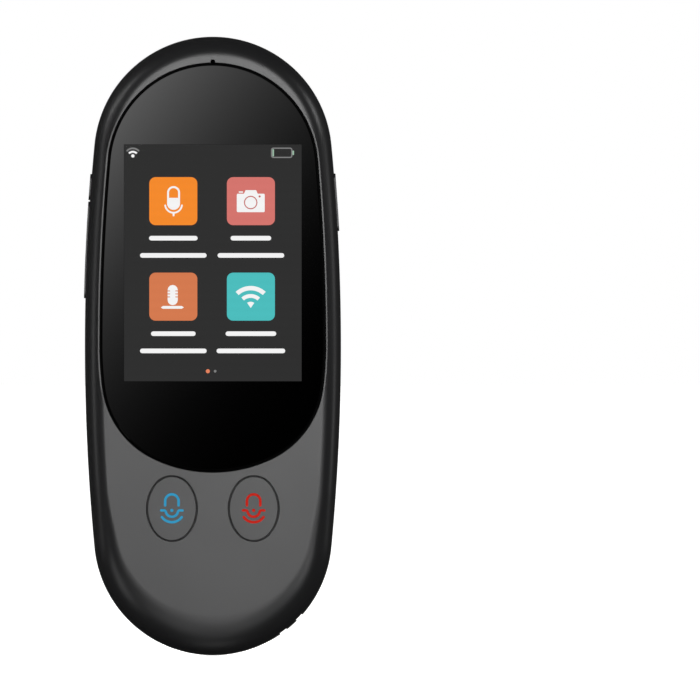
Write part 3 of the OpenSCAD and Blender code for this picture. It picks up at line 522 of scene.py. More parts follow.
def key_ring(side, inset, z):
    """A talk key's oval on one side, moved in by an inset, at a height."""
    return [at_spot(s, inset, z) + Vector((side * KEY_PITCH / 2, -KEY_DROP, 0)) for s in key_spots]


key_holes = []
for side in (-1, 1):
    edge = [key_ring(side, -out, body_t - down) for out, down in rounding(KEY_EDGE, EDGE_STEPS)]
    key_holes.append(loft(shell, edge + [key_ring(side, 0, PANEL_Z)]))
fill_flat(shell, [face_loop, rim_loop] + [outer for outer, _ in key_holes])
fill_flat(shell, [inner_loop, back_hole_loop] + [back for _, back in key_holes])

# ABS, spark-eroded mould: a dark grey with a broad soft sheen and a very fine grain.
# The grain is drawn at 0.25 mm, coarser than the real 0.05 mm, so that it can show, and
# the gloss drifts a little over 18 mm.
GRAIN_MM, CLOUD_MM = 0.25, 18
front_abs, tree, shader, place = new_surface("moulded_abs_satin_charcoal", "#232324", 0.35)
grain = add_node(tree, "ShaderNodeTexNoise",
    {"Vector": place, "Scale": 1 / (GRAIN_MM * MM), "Detail": 2.0}).outputs["Fac"]
cloud = add_node(tree, "ShaderNodeTexNoise",
    {"Vector": place, "Scale": 1 / (CLOUD_MM * MM), "Detail": 3.0}).outputs["Fac"]
sheen = add_node(tree, "ShaderNodeMapRange", {"Value": cloud, "From Min": 0.3,
    "From Max": 0.7, "To Min": 0.33, "To Max": 0.37}).outputs["Result"]
tree.links.new(sheen, shader.inputs["Roughness"])
bump = add_node(tree, "ShaderNodeBump",
    {"Height": grain, "Strength": 0.05, "Distance": 0.01 * MM}).outputs["Normal"]
tree.links.new(bump, shader.inputs["Normal"])
shader.inputs["IOR"].default_value = 1.5

# The recess round the glass is painted dead black: painted shade for the narrow gap beside the
# glass
gap_shade_black, tree, shader, place = new_surface("painted_shade_recess_black", "#050505", 0.8)
shader.inputs["Specular IOR Level"].default_value = 0.1
fleck = add_node(tree, "ShaderNodeTexNoise",
    {"Vector": place, "Scale": 1 / (GRAIN_MM * MM)}).outputs["Fac"]
bump = add_node(tree, "ShaderNodeBump",
    {"Height": fleck, "Strength": 0.1, "Distance": 0.01 * MM}).outputs["Normal"]
tree.links.new(bump, shader.inputs["Normal"])

front_shell = to_object(shell, "housing_front", front_abs, gap_shade_black)

# Cutters for the slots of the side keys, the microphone, the socket and the lanyard
CAP_Z, CAP_H, CAP_R, CAP_GAP = 6.9, 2.4, 1.0, 0.15
SLOTS = ((1, 23.8, 35.7), (-1, 9.9, 35.6))
SLOT_FROM, SLOT_REACH = 22.5, 6
SOCKET_W, SOCKET_H, SOCKET_GAP = 8.94, 3.2, 0.15
SOCKET_Z = WIDEST_Z - SOCKET_GAP - SOCKET_H / 2
SOCKET_R = SOCKET_H / 2 + SOCKET_GAP - 0.02  # a hair less than a half circle
SOCKET_FROM, SOCKET_REACH = half_l + 1, 6
MIC_Y, MIC_R, MIC_SIDES, MIC_DEEP = 58.75, 0.5, 24, 4
end_y, end_r = BODY[1][0][1], BODY[1][1]
EYELET_ANGLE, BAR_W, BAR_T, EYELET_W, EYELET_H = radians(48.3), 2.7, 1.4, 1.7, 3.2
EYELET_Z = WIDEST_Z - 0.1
BLOCK_WALL, BLOCK_BITE, BLOCK_MORE = 1.1, 0.4, radians(4)
BLOCK_LOW, BLOCK_TOP = 5.75, PANEL_Z + 0.3
BEYOND = 2  # what a cutter stands out past the skin


def polar(r, a, z):
    """A point around the lower end's centre, its direction measured from the lanyard bar."""
    return Vector((r * cos(a - EYELET_ANGLE), -end_y + r * sin(a - EYELET_ANGLE), z))


def socket_cutter(name):
    """What the socket and the gap round it take out of a shell."""
    bm = bmesh.new()
    prism(bm, [Vector((x, -SOCKET_FROM, SOCKET_Z + z)) for x, z in rounded(
        SOCKET_W + 2 * SOCKET_GAP, SOCKET_H + 2 * SOCKET_GAP, SOCKET_R)], (0, SOCKET_REACH, 0))
    return to_object(bm, name)


eyelet_half = asin((BAR_W / 2 + EYELET_W) / end_r)
bar_half = asin(BAR_W / 2 / end_r)
channel_r = end_r - BAR_T
ARC_STEPS = 8


def sweep(r, start, stop, z):
    """Points of an arc about the lower end's centre."""
    return [polar(r, start + (stop - start) * i / ARC_STEPS, z) for i in range(ARC_STEPS + 1)]


block = bmesh.new()
block_half = eyelet_half + BLOCK_MORE
prism(block, sweep(channel_r - EYELET_W + BLOCK_BITE, -block_half, block_half, BLOCK_LOW)
    + sweep(channel_r - EYELET_W - BLOCK_WALL, block_half, -block_half, BLOCK_LOW),
    (0, 0, BLOCK_TOP - BLOCK_LOW))
cut(front_shell, to_object(block, "eyelet_block"), "UNION")
cutter = bmesh.new()
low = EYELET_Z - EYELET_H / 2
prism(cutter, sweep(channel_r - EYELET_W, -eyelet_half, eyelet_half, low)
    + sweep(end_r + BEYOND, eyelet_half, bar_half, low) + sweep(channel_r, bar_half, -bar_half, low)
    + sweep(end_r + BEYOND, -bar_half, -eyelet_half, low), (0, 0, EYELET_H))
for side, start, stop in SLOTS:
    prism(cutter, [Vector((side * SLOT_FROM, y, z)) for y, z in rounded(
        stop - start + 2 * CAP_GAP, CAP_H + 2 * CAP_GAP, CAP_R + CAP_GAP,
        ((start + stop) / 2, CAP_Z))], (side * SLOT_REACH, 0, 0))
bmesh.ops.create_cone(cutter, cap_ends=True, segments=MIC_SIDES, radius1=MIC_R, radius2=MIC_R,
    depth=MIC_DEEP, matrix=Matrix.Translation((0, MIC_Y, body_t)))
cut(front_shell, to_object(cutter, "front_cutter"))
cut(front_shell, socket_cutter("front_socket_cutter"))
smooth(front_shell)
seat(front_shell, "root", "front_plastic", "front_shell")
leave_out(front_shell, without_front)

# ---- Back shell ----
# The rear half, one smooth moulding of the same ABS with a flat back, the loudspeaker's
# 232 drilled holes and the camera's hole. A tongue on its edge enters the front shell.
TRAY_WALL, TONGUE_T, TONGUE_H, FLOOR_T = 2.1, 0.6, 1.0, 1.6
TRAY_SOFT, TRAY_RINGS, TRAY_START, TRAY_DROP = 1.0, 8, radians(30), 0.6
SPEAKER_Y, SPEAKER_SEAT_R, CAMERA_Y = 42.2, 14.25, 21.9
CAMERA_HOLE_R, CAMERA_HOLE_EDGE, ROUND_SIDES = 4.6, 0.15, 96
GRILLE_COUNTS = (4, 8, 16, 24, 32, 40, 48, 60)
GRILLE_FIRST, GRILLE_PITCH, GRILLE_SQUEEZE = 1.35, 1.75, 0.0225
HOLE_INNER_R, HOLE_OUTER_R = 1.05 / 2, 0.8 / 2
HOLE_SIDES, HOLE_EDGE = 12, 0.08
GRILLE_LIMIT = 13.3


def last_tilt(spot, wall, soft, r):
    """Where a rounding within a wall stops: at the flat, or r away from the speaker's middle."""
    def too_near(inset):
        p = at_spot(spot, wall + inset, 0)
        return Vector((p.x, p.y - SPEAKER_Y)).length < r
    return acos(1 - (where(too_near, 0, soft) if too_near(soft) else soft) / soft)


tray = bmesh.new()
back_tilts = [last_tilt(s, 0, back_soft(s[4]), GRILLE_LIMIT) for s in body_spots]
lip_tilt = asin((WIDEST_Z - SEAM_Z + LIP) / WIDEST_Z)
skin = []
for k in range(SKIN_RINGS + 1):
    ring = []
    for s, most in zip(body_spots, back_tilts):
        t = most + (lip_tilt - most) * k / SKIN_RINGS
        ring.append(at_spot(s, back_soft(s[4]) * (1 - cos(t)), WIDEST_Z * (1 - sin(t))))
    skin.append(ring)
lips = [[at_spot(s, below_widest(s, SEAM_Z - up) + away, SEAM_Z - up) for s in body_spots]
    for away, up in rounding(LIP, LIP_STEPS)[-2::-1]]
steps = [[at_spot(s, inset, z) for s in body_spots] for inset, z in (
    (TRAY_WALL - TONGUE_T, SEAM_Z), (TRAY_WALL - TONGUE_T, SEAM_Z + TONGUE_H),
    (TRAY_WALL, SEAM_Z + TONGUE_H), (TRAY_WALL, SEAM_Z - TRAY_DROP))]
ends = [last_tilt(s, TRAY_WALL, back_soft(s[4]) - TRAY_SOFT, SPEAKER_SEAT_R) for s in body_spots]
bowl = []
for k in range(TRAY_RINGS + 1):
    ring = []
    for s, end in zip(body_spots, ends):
        t = TRAY_START + (end - TRAY_START) * k / TRAY_RINGS
        share = (sin(end) - sin(t)) / (sin(end) - sin(TRAY_START))
        ring.append(at_spot(s, TRAY_WALL + (back_soft(s[4]) - TRAY_SOFT) * (1 - cos(t)),
            FLOOR_T + (WIDEST_Z - FLOOR_T) * (1 - sin(TRAY_START)) * share))
    bowl.append(ring)
back_loop, floor_loop = loft(tray, skin + lips + steps + bowl)


def drill(bm, x, y, r, edge, sides, top):
    """A hole through the back, with a small rounded edge outside. Returns both its loops."""
    def circle(grow, z):
        return [Vector((x + (r + grow) * cos(a), y + (r + grow) * sin(a), z))
            for a in (2 * pi * i / sides for i in range(sides))]
    return loft(bm, [circle(edge, 0), circle(edge * MID, edge * MID), circle(0, edge),
        circle(0, top)])


holes = [drill(tray, 0, CAMERA_Y, CAMERA_HOLE_R, CAMERA_HOLE_EDGE, ROUND_SIDES, FLOOR_T)]
for k, count in enumerate(GRILLE_COUNTS):
    ring_r = GRILLE_FIRST + GRILLE_PITCH * k - GRILLE_SQUEEZE * k * k
    hole_r = HOLE_INNER_R + (HOLE_OUTER_R - HOLE_INNER_R) * k / (len(GRILLE_COUNTS) - 1)
    for i in range(count):
        a = 2 * pi * i / count
        holes.append(drill(tray, ring_r * cos(a), SPEAKER_Y + ring_r * sin(a),
            hole_r, HOLE_EDGE, HOLE_SIDES, FLOOR_T))
fill_flat(tray, [back_loop] + [outside for outside, _ in holes])
fill_flat(tray, [floor_loop] + [inside for _, inside in holes])

# The same ABS, moulded for the back
back_abs = front_abs.copy()
back_abs.name = "moulded_abs_satin_charcoal_back"
back_shell = to_object(tray, "housing_back", back_abs)
cut(back_shell, socket_cutter("back_socket_cutter"))
smooth(back_shell, sharp=15)
seat(back_shell, "root", "back_plastic", "back_shell")

# ---- Cover glass ----
# Toughened glass, 0.8 mm, in the front's recess on black tape. Its border is printed
# black behind, and over the picture it is coated against reflections.
GLASS_Z, GLASS_T, GLASS_EDGE, PICTURE_R = 12.1, 0.8, 0.22, 0.05
top_z = GLASS_Z + GLASS_T
glass_bm = bmesh.new()
outlines = loft(glass_bm, [[at_spot(s, inset, top_z - down) for s in window_spots]
    for inset, down in rounding(GLASS_EDGE, EDGE_STEPS) + [(0, GLASS_T)]])
clear_area = rounded(PICTURE_W, PICTURE_H, PICTURE_R, (0, PICTURE_Y))
clear_loops = [draw_loop(glass_bm, [Vector((*p, z)) for p in clear_area])
    for z in (top_z, GLASS_Z)]
for outline, clear in zip(outlines, clear_loops):
    fill_flat(glass_bm, [outline, clear])
    fill_flat(glass_bm, [clear], material=1)
# Printed glass: seen from in front, a deep gloss black
glass_border, tree, shader, place = new_surface("toughened_glass_black_printed", "#050506", 0.03)
shader.inputs["IOR"].default_value = 1.52
# Coated glass: clear, with almost no glare
glass_clear, tree, shader, place = new_surface("toughened_glass_coated_clear", "#ffffff", 0)
shader.inputs["Transmission Weight"].default_value = 1
shader.inputs["IOR"].default_value = 1.05
glass = to_object(glass_bm, "cover_glass", glass_border, glass_clear)
smooth(glass)
seat(glass, "root", "cover_glass", "display_window")
only_glass.objects.link(glass)
leave_out(glass, without_glass)
leave_out(glass, without_front)

# ---- Picture on the screen ----
# What the liquid crystal shows: four launcher tiles with pictograms and plain bars for
# their captions, a status line and page dots. Each lit area is its own thin layer.
PANEL_FRONT, LAYER = 10.7, 0.02
# A liquid crystal's rows are 0.1 mm apart. They are drawn 1.9 mm apart, so that they
# just show. A wave node at scale 1 repeats every 2 pi / 20.
ROW_MM, WAVE = 1.885, 2 * pi / 20


def lit(name, code):
    """Lit pixels of one colour, with a faint banding along the crystal's rows."""
    made, tree, shader, place = new_surface(name, "#000000", 0.3)
    shader.inputs["Specular IOR Level"].default_value = 0.0
    rows = add_node(tree, "ShaderNodeTexWave",
        {"Vector": place, "Scale": WAVE / (ROW_MM * MM), "Distortion": 0.0},
        wave_type="BANDS", bands_direction="Z").outputs["Fac"]
    glow = add_node(tree, "ShaderNodeMapRange",
        {"Value": rows, "To Min": 0.99, "To Max": 1.01}).outputs["Result"]
    tree.links.new(glow, shader.inputs["Emission Strength"])
    shader.inputs["Emission Color"].default_value = linear(code)
    return made


def show(bm, name, material):
    """One part of the picture, fixed on the panel."""
    seat(to_object(bm, name, material), "root", "screen_glass")


def to_plan(px, py):
    """The place in plan that shows at a pixel of the front view."""
    return (px - DEVICE_MIDDLE[0]) * MM_PER_PIXEL, (DEVICE_MIDDLE[1] - py) * MM_PER_PIXEL


def flat_shape(bm, points, z, thick=LAYER):
    """A thin layer with this outline."""
    prism(bm, [Vector((x, y, z)) for x, y in points], (0, 0, thick))


def arc(centre, r, start, stop, steps=16):
    """Points along an arc, its directions in degrees."""
    turns = [radians(start + (stop - start) * i / steps) for i in range(steps + 1)]
    return [Vector((centre[0] + r * cos(a), centre[1] + r * sin(a))) for a in turns]


def disc(centre, r, steps=24):
    """Points round a circle."""
    return arc(centre, r, 0, 360, steps)[:-1]


END_STEPS = 6


def stroke(bm, path, width, z, thick=LAYER):
    """A thin line of this width with round ends, along points in plan."""
    path = [Vector(p) for p in path]
    last = len(path) - 1
    across = []
    for k in range(last + 1):
        way = (path[min(k + 1, last)] - path[max(k - 1, 0)]).normalized() * width / 2
        across.append(Vector((-way.y, way.x)))
    ends = []
    for k, turn in ((last, 0), (0, pi)):
        first = atan2(across[k].y, across[k].x) + turn
        ends.append([path[k] + Vector((cos(first - a), sin(first - a))) * width / 2
            for a in (pi * i / END_STEPS for i in range(1, END_STEPS))])
    flat_shape(bm, [p + n for p, n in zip(path, across)] + ends[0]
        + [p - n for p, n in zip(path, across)][::-1] + ends[1], z, thick)


LAYER_GAP = 0.01  # between the panel and the picture, and inside the picture's border
layer_z = PANEL_FRONT + LAYER_GAP
bm = bmesh.new()
flat_shape(bm, rounded(PICTURE_W - 2 * LAYER_GAP, PICTURE_H - 2 * LAYER_GAP, PICTURE_R,
    (0, PICTURE_Y)), layer_z)
show(bm, "picture_ground", lit("lit_pixels_dark_grey", "#303030"))

TILE, TILE_R = 9.93, 1.3
TILES = {"orange": ((173.5, 201.3), "#f48a2e", (44, 62)),
    "rose": ((251, 201.3), "#d4756e", (36, 62)),
    "terracotta": ((173.5, 296.7), "#d47a50", (40, 62)),
    "teal": ((251, 296.7), "#4dbdbd", (46, 64))}
for name, (pixel, code, _) in TILES.items():
    bm = bmesh.new()
    flat_shape(bm, rounded(TILE, TILE, TILE_R, to_plan(*pixel)), layer_z + LAYER)
    show(bm, "tile_" + name, lit("lit_pixels_" + name, code))

MARK_Z = layer_z + 2 * LAYER
marks = bmesh.new()


def at_tile(name, dx, dy):
    """A place in plan, in pixels right of and above a tile's middle."""
    x, y = to_plan(*TILES[name][0])
    return Vector((x + dx * MM_PER_PIXEL, y + dy * MM_PER_PIXEL))


def line(bm, name, path, width, up=0):
    """A line on a tile, its points and width in pixels from the tile's middle."""
    stroke(bm, [at_tile(name, *p) for p in path], width * MM_PER_PIXEL, MARK_Z + up * LAYER)


def patch(bm, name, points, up=0):
    """A flat patch on a tile, its outline in pixels from the tile's middle."""
    flat_shape(bm, [at_tile(name, *p) for p in points], MARK_Z + up * LAYER)


def ring_part(centre, inner, outer, half):
    """Part of a ring, this many degrees either side of straight up."""
    return arc(centre, outer, 90 - half, 90 + half) + arc(centre, inner, 90 + half, 90 - half)


# Microphone: a capsule, its lower half filled, in a holder
cap_top, cap_foot = arc((0.25, 8.55), 5.5, 0, 180), arc((0.25, -2.25), 5.5, 180, 360)
line(marks, "orange", cap_top + cap_foot + cap_top[:1], 1.9)
patch(marks, "orange", arc((0.25, -2.25), 5.8, 180, 360) + [(6.05, 3.3), (-5.55, 3.3)])
line(marks, "orange", arc((0.25, -3.2), 8.4, 187, 353), 1.7)
line(marks, "orange", [(0.25, -12), (0.25, -14.2)], 1.9)
# Camera: a body with a hump and a winder; its lens ring and window are drawn over it
patch(marks, "rose", rounded(27.9, 18.4, 1.2, (-0.15, -1.8)))
patch(marks, "rose", [(-7.1, 7), (7, 7), (5.2, 11), (-5.3, 11)])
patch(marks, "rose", rounded(4.3, 1.3, 0.3, (-10, 9.1)))
# Desk microphone: a capsule on a bar, with slits drawn over it
line(marks, "terracotta", [(-0.6, 6.6), (-0.6, -3.4)], 10.2)
patch(marks, "terracotta",
    [(-12.4, -10.9), (-10.4, -9.3), (8.4, -9.3), (10.6, -10.7), (8.4, -12.1), (-10.4, -12.1)])
# Signal: two bands and a wedge
for inner, outer, half in ((17.6, 22, 43), (10.1, 13.9, 42)):
    patch(marks, "teal", ring_part((-0.2, -11.3), inner, outer, half))
patch(marks, "teal", [(-0.2, -11.3)] + arc((-0.2, -11.3), 6.2, 55, 125))
# Captions: two plain bars under each tile
for name, (_, _, widths) in TILES.items():
    for down, width in zip((-37, -54.2), widths):
        line(marks, name, [(-width / 2, down), (width / 2, down)], 4.6)
show(marks, "picture_marks", lit("lit_pixels_white", "#f4f4f4"))
rings = bmesh.new()
line(rings, "rose", arc((-0.2, -1.4), 6.25, 0, 358), 1.1, up=1)
patch(rings, "rose", disc((8.7, 4.7), 1.1, 16), up=1)
show(rings, "picture_lens_mark", lit("lit_pixels_rose_line", "#c46a66"))
slits = bmesh.new()
for down in (5.7, 2.7, -0.3):
    for side in (-1, 1):
        patch(slits, "terracotta", rounded(2.6, 1, 0.2, (-0.6 + side * 3.9, down)), up=1)
show(slits, "picture_slit_marks", lit("lit_pixels_terracotta_line", "#d98d68"))

# Status line: signal bands, and a battery's outline with a little charge left
STATUS_Z = layer_z + LAYER
signal = (133.1, 156.3)


def status_part(points):
    """Points in plan, from pixels right of and above the signal's foot."""
    return [to_plan(signal[0] + x, signal[1] - y) for x, y in points]


bright, dim, charge = bmesh.new(), bmesh.new(), bmesh.new()
flat_shape(bright, status_part(disc((0, 0.2), 1.7, 16)), STATUS_Z)
flat_shape(bright, status_part(ring_part((0, -1), 4.3, 6.3, 47)), STATUS_Z)
flat_shape(dim, status_part(ring_part((0, 0), 7, 8.6, 51)), STATUS_Z)
frame_line = rounded(20.2, 9.2, 1.8, (281.8, 153))
stroke(dim, [to_plan(*p) for p in frame_line + frame_line[:1]], 1.2 * MM_PER_PIXEL, STATUS_Z)
flat_shape(dim, disc(to_plan(215.3, 371.2), 0.28, 16), STATUS_Z)
for width, height, r, px in ((1.5, 7.2, 0.4, 273.3), (1.6, 4.4, 0.6, 293.3)):
    flat_shape(charge, [to_plan(*p) for p in rounded(width, height, r, (px, 153))], STATUS_Z)
for name, bm, code in (("bright", bright, "#f4f4f4"), ("dim", dim, "#808080"),
        ("charge", charge, "#9cbca6")):
    show(bm, "picture_status_" + name, lit("lit_pixels_status_" + name, code))
page = bmesh.new()
flat_shape(page, disc(to_plan(208, 371.2), 0.42, 20), STATUS_Z)
show(page, "picture_page_dot", lit("lit_pixels_orange_red", "#e68460"))

# ---- Talk keys ----
# Two oval keys of the same ABS, each with a flange behind the front panel and a
# microphone pictogram printed in blue or red ink on its face.
KEY_GAP, KEY_FLANGE, KEY_FLANGE_T, KEY_SLACK = 0.2, 0.7, 0.5, 0.1
key_abs = front_abs.copy()
key_abs.name = "moulded_abs_satin_charcoal_key"
flange_z = PANEL_Z - KEY_SLACK
for side, name in ((-1, "left"), (1, "right")):
    bm = bmesh.new()
    edge = [key_ring(side, KEY_GAP + inward, body_t - down)
        for inward, down in rounding(KEY_EDGE, EDGE_STEPS)]
    face, foot = loft(bm, edge + [key_ring(side, inset, z) for inset, z in ((KEY_GAP, flange_z),
        (-KEY_FLANGE, flange_z), (-KEY_FLANGE, flange_z - KEY_FLANGE_T))])
    fill_flat(bm, [face])
    fill_flat(bm, [foot])
    key = smooth(to_object(bm, "talk_key_cap_" + name, key_abs))
    seat(key, "talk_key_" + name, "key_plastic", "talk_key_" + name)

# The pictograms are pad-printed ink, 0.01 mm thick: a microphone with a sound arc
INK_T, INK_W, SPECK_MM = 0.01, 0.52, 0.2
for side, name, code in ((-1, "left", "#3ab4e6"), (1, "right", "#e8281a")):
    ink, tree, shader, place = new_surface("pad_printed_ink_" + name, code, 0.8)
    shader.inputs["Specular IOR Level"].default_value = 0.1
    speck = add_node(tree, "ShaderNodeTexNoise",
        {"Vector": place, "Scale": 1 / (SPECK_MM * MM), "Detail": 2.0}).outputs["Fac"]
    bump = add_node(tree, "ShaderNodeBump",
        {"Height": speck, "Strength": 0.05, "Distance": 0.01 * MM}).outputs["Normal"]
    tree.links.new(bump, shader.inputs["Normal"])
    bm = bmesh.new()
    middle = Vector((side * KEY_PITCH / 2, -KEY_DROP))
    arch = [(-1.38, 0.68)] + arc((0, 1.58), 1.38, 180, 0) + [(1.38, 0.68)]
    cup = [(-2.2, -0.36), (-1.45, -0.36)] + arc((0, -0.4), 1.28, 188, 352) + [
        (1.45, -0.36), (2.2, -0.36)]
    for path in (arch, cup, arc((0, -0.3), 2.5, 215, 325)):
        stroke(bm, [middle + Vector(p) for p in path], INK_W, body_t, INK_T)
    flat_shape(bm, disc(middle + Vector((0, -0.36)), 0.34), body_t, INK_T)
    seat(to_object(bm, "talk_mark_" + name, ink), "talk_key_" + name, "key_plastic")

# ---- Side keys ----
# Moulded caps of black ABS in slots of the left and right edge, each with a flange
# inside. The solids keep their form here and get softly rounded edges.

# Black ABS from a satin mould: darker than the shells, with the same fine grain
side_abs, tree, shader, place = new_surface("moulded_abs_satin_black", "#161617", 0.4)
grain = add_node(tree, "ShaderNodeTexNoise",
    {"Vector": place, "Scale": 1 / (GRAIN_MM * MM), "Detail": 2.0}).outputs["Fac"]
bump = add_node(tree, "ShaderNodeBump",
    {"Height": grain, "Strength": 0.08, "Distance": 0.01 * MM}).outputs["Normal"]
tree.links.new(bump, shader.inputs["Normal"])
CAP_EDGE, SAME_MM, LEVEL, CORNER = 0.12, 0.002, radians(0.5), radians(30)


def softened(node, name, material, edge, body, slot):
    """A copy of a solid with its edges rounded, which stands for it."""
    bm = bmesh.new()
    bm.from_mesh(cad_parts[node].data)
    bmesh.ops.remove_doubles(bm, verts=bm.verts, dist=SAME_MM * MM)
    bmesh.ops.dissolve_limit(bm, angle_limit=LEVEL, verts=bm.verts, edges=bm.edges)
    corners = [e for e in bm.edges if e.is_manifold and e.calc_face_angle() > CORNER]
    bmesh.ops.bevel(bm, geom=corners, offset=edge * MM, offset_type="OFFSET", affect="EDGES",
        segments=3, profile=0.5, material=-1, clamp_overlap=True)
    for face in bm.faces:
        face.material_index = 0
    made = to_object(bm, name, material, move=Matrix.Identity(4))
    return seat(smooth(made, sharp=40), body, slot, node)


for node in ("function_key", "volume_rocker", "power_key"):
    cap = softened(node, node + "_cap", side_abs, CAP_EDGE, node, "side_key_plastic")
    leave_out(cap, without_front)

# ---- Loudspeaker ----
# A round speaker behind the grille: a black moulded basket and ring, a film cone, a
# nickel-plated magnet cup, and black woven cloth over the holes.


def dress(material, *nodes):
    """Gives solids that keep their shape this finish."""
    for node in nodes:
        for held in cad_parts[node].material_slots:
            held.material = material


def plain_surface(name, code, rough, metal=0.0, grain_mm=0.5, depth_mm=0.01, spread=0.05):
    """A surface with one colour, a fine grain and slightly uneven gloss."""
    made, tree, shader, place = new_surface(name, code, rough)
    shader.inputs["Metallic"].default_value = metal
    noise = add_node(tree, "ShaderNodeTexNoise",
        {"Vector": place, "Scale": 1 / (grain_mm * MM), "Detail": 3.0}).outputs["Fac"]
    gloss = add_node(tree, "ShaderNodeMapRange",
        {"Value": noise, "To Min": rough - spread, "To Max": rough + spread}).outputs["Result"]
    tree.links.new(gloss, shader.inputs["Roughness"])
    bump = add_node(tree, "ShaderNodeBump",
        {"Height": noise, "Strength": 0.2, "Distance": depth_mm * MM}).outputs["Normal"]
    tree.links.new(bump, shader.inputs["Normal"])
    return made


# Woven cloth: dead black, so that the holes look deep. Its threads are 0.1 mm apart,
# drawn 1.26 mm apart so that they show.
black_cloth_and_hole_shade, tree, shader, place = new_surface("woven_cloth_black_and_painted_shade", "#0a0a0b", 0.9)
shader.inputs["Specular IOR Level"].default_value = 0.1
THREAD_MM = 1.257
warp, weft = (add_node(tree, "ShaderNodeTexWave",
    {"Vector": place, "Scale": WAVE / (THREAD_MM * MM)},
    wave_type="BANDS", bands_direction=way).outputs["Fac"] for way in ("X", "Z"))
weave = add_node(tree, "ShaderNodeMath", {0: warp, 1: weft},
    operation="MULTIPLY").outputs["Value"]
bump = add_node(tree, "ShaderNodeBump",
    {"Height": weave, "Strength": 0.6, "Distance": 0.05 * MM}).outputs["Normal"]
tree.links.new(bump, shader.inputs["Normal"])
dress(black_cloth_and_hole_shade, "speaker_cloth")
# Matt black ABS: dull, with a soft even sheen
black_abs = plain_surface("moulded_abs_matt_black", "#141415", 0.5)
dress(black_abs, "speaker_frame", "camera_module")
# Foam: open cells that swallow the light
foam = plain_surface("polyurethane_foam_black", "#1a1a1b", 0.95, grain_mm=0.3, depth_mm=0.05)
dress(foam, "speaker_ring", "screen_seal")
# Formed film: thin and brownish black, with a slight gloss
dress(plain_surface("formed_polyimide_film", "#1d1a17", 0.35), "speaker_cone")
# Nickel plate: a half-bright, warm grey metal
nickel = plain_surface("nickel_plated_steel", "#a9a9a6", 0.28, metal=1.0)
dress(nickel, "speaker_magnet")

# ---- Rear camera ----
# A chromium-plated ring in the back around a glass disc, a blackened barrel with a
# stepped front, and a coated front lens whose glints are painted teal on one side and green on the
# other.
CHROME_R, CHROME_BORE_R, CHROME_SINK = 4.26, 3.77, 0.05
CROWN_H, CROWN_STEPS = 0.2, 10
LIP_Z, RING_SLACK, RING_PLAY = 0.55, 0.1, 0.05
DISC_LAP, FLANGE_LAP, FLANGE_T = 0.2, 0.5, 0.4
JOIN = 0.0005  # points on the axis that are closer than this are one


def turned(name, profile, material):
    """A piece turned about the camera's axis, from a closed profile of radius and height."""
    bm = bmesh.new()
    verts = [bm.verts.new((r, CAMERA_Y, z)) for r, z in profile]
    edges = [bm.edges.new(pair) for pair in zip(verts, verts[1:] + verts[:1])]
    bmesh.ops.spin(bm, geom=verts + edges, cent=(0, CAMERA_Y, 0), axis=(0, 0, 1),
        angle=2 * pi, steps=ROUND_SIDES, use_merge=True)
    bmesh.ops.remove_doubles(bm, verts=bm.verts, dist=JOIN)
    bmesh.ops.delete(bm, geom=[e for e in bm.edges if not e.link_faces], context="EDGES")
    return smooth(to_object(bm, name, material), sharp=25)


crown_r, crown_w = (CHROME_R + CHROME_BORE_R) / 2, (CHROME_R - CHROME_BORE_R) / 2
crown = [(crown_r + crown_w * cos(a), CHROME_SINK + CROWN_H * (1 - sin(a)))
    for a in (pi * i / CROWN_STEPS for i in range(CROWN_STEPS + 1))]
seat_r, flange_r = CAMERA_HOLE_R - RING_SLACK, CAMERA_HOLE_R + FLANGE_LAP
step_z, flange_z = LIP_Z + RING_PLAY, FLOOR_T + RING_PLAY
disc_r = CHROME_BORE_R + DISC_LAP + RING_PLAY
# Polished chrome: almost a mirror, bright on one side and black on the other
chrome = plain_surface("chromium_plated_brass_polished", "#dcdddf", 0.08, metal=1.0,
    grain_mm=0.8, depth_mm=0.002, spread=0.02)
ring = turned("camera_trim_ring", crown[::-1] + [(CHROME_R, step_z), (seat_r, step_z),
    (seat_r, flange_z), (flange_r, flange_z), (flange_r, flange_z + FLANGE_T),
    (disc_r, flange_z + FLANGE_T), (disc_r, LIP_Z), (CHROME_BORE_R, LIP_Z)], chrome)
seat(ring, "root", "ring_chrome", "camera_ring")
# Clear glass: most light passes straight through, and a little shines back
disc_glass, tree, shader, place = new_surface("polished_cover_disc_glass", "#101214", 0.02)
shader.inputs["Alpha"].default_value = 0.2
dress(disc_glass, "camera_window")
leave_out(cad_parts["camera_window"], without_front)
# Black anodised aluminium: dark grey and satin, so that its steps catch a little light
anodised = plain_surface("anodised_aluminium_black", "#4a4b4f", 0.45, metal=0.3,
    grain_mm=0.3, depth_mm=0.005)
dress(anodised, "camera_barrel")
LENS_TOP, LENS_R, LENS_T, LENS_EDGE = 1.45, 1.78, 1.2, 0.1
BULGE_R, BULGE_CURVE, BULGE_STEPS = 1.4, 2.6, 8
bulge = [(r, LENS_TOP + BULGE_CURVE - sqrt(BULGE_CURVE ** 2 - r ** 2))
    for r in (BULGE_R * i / BULGE_STEPS for i in range(BULGE_STEPS + 1))]
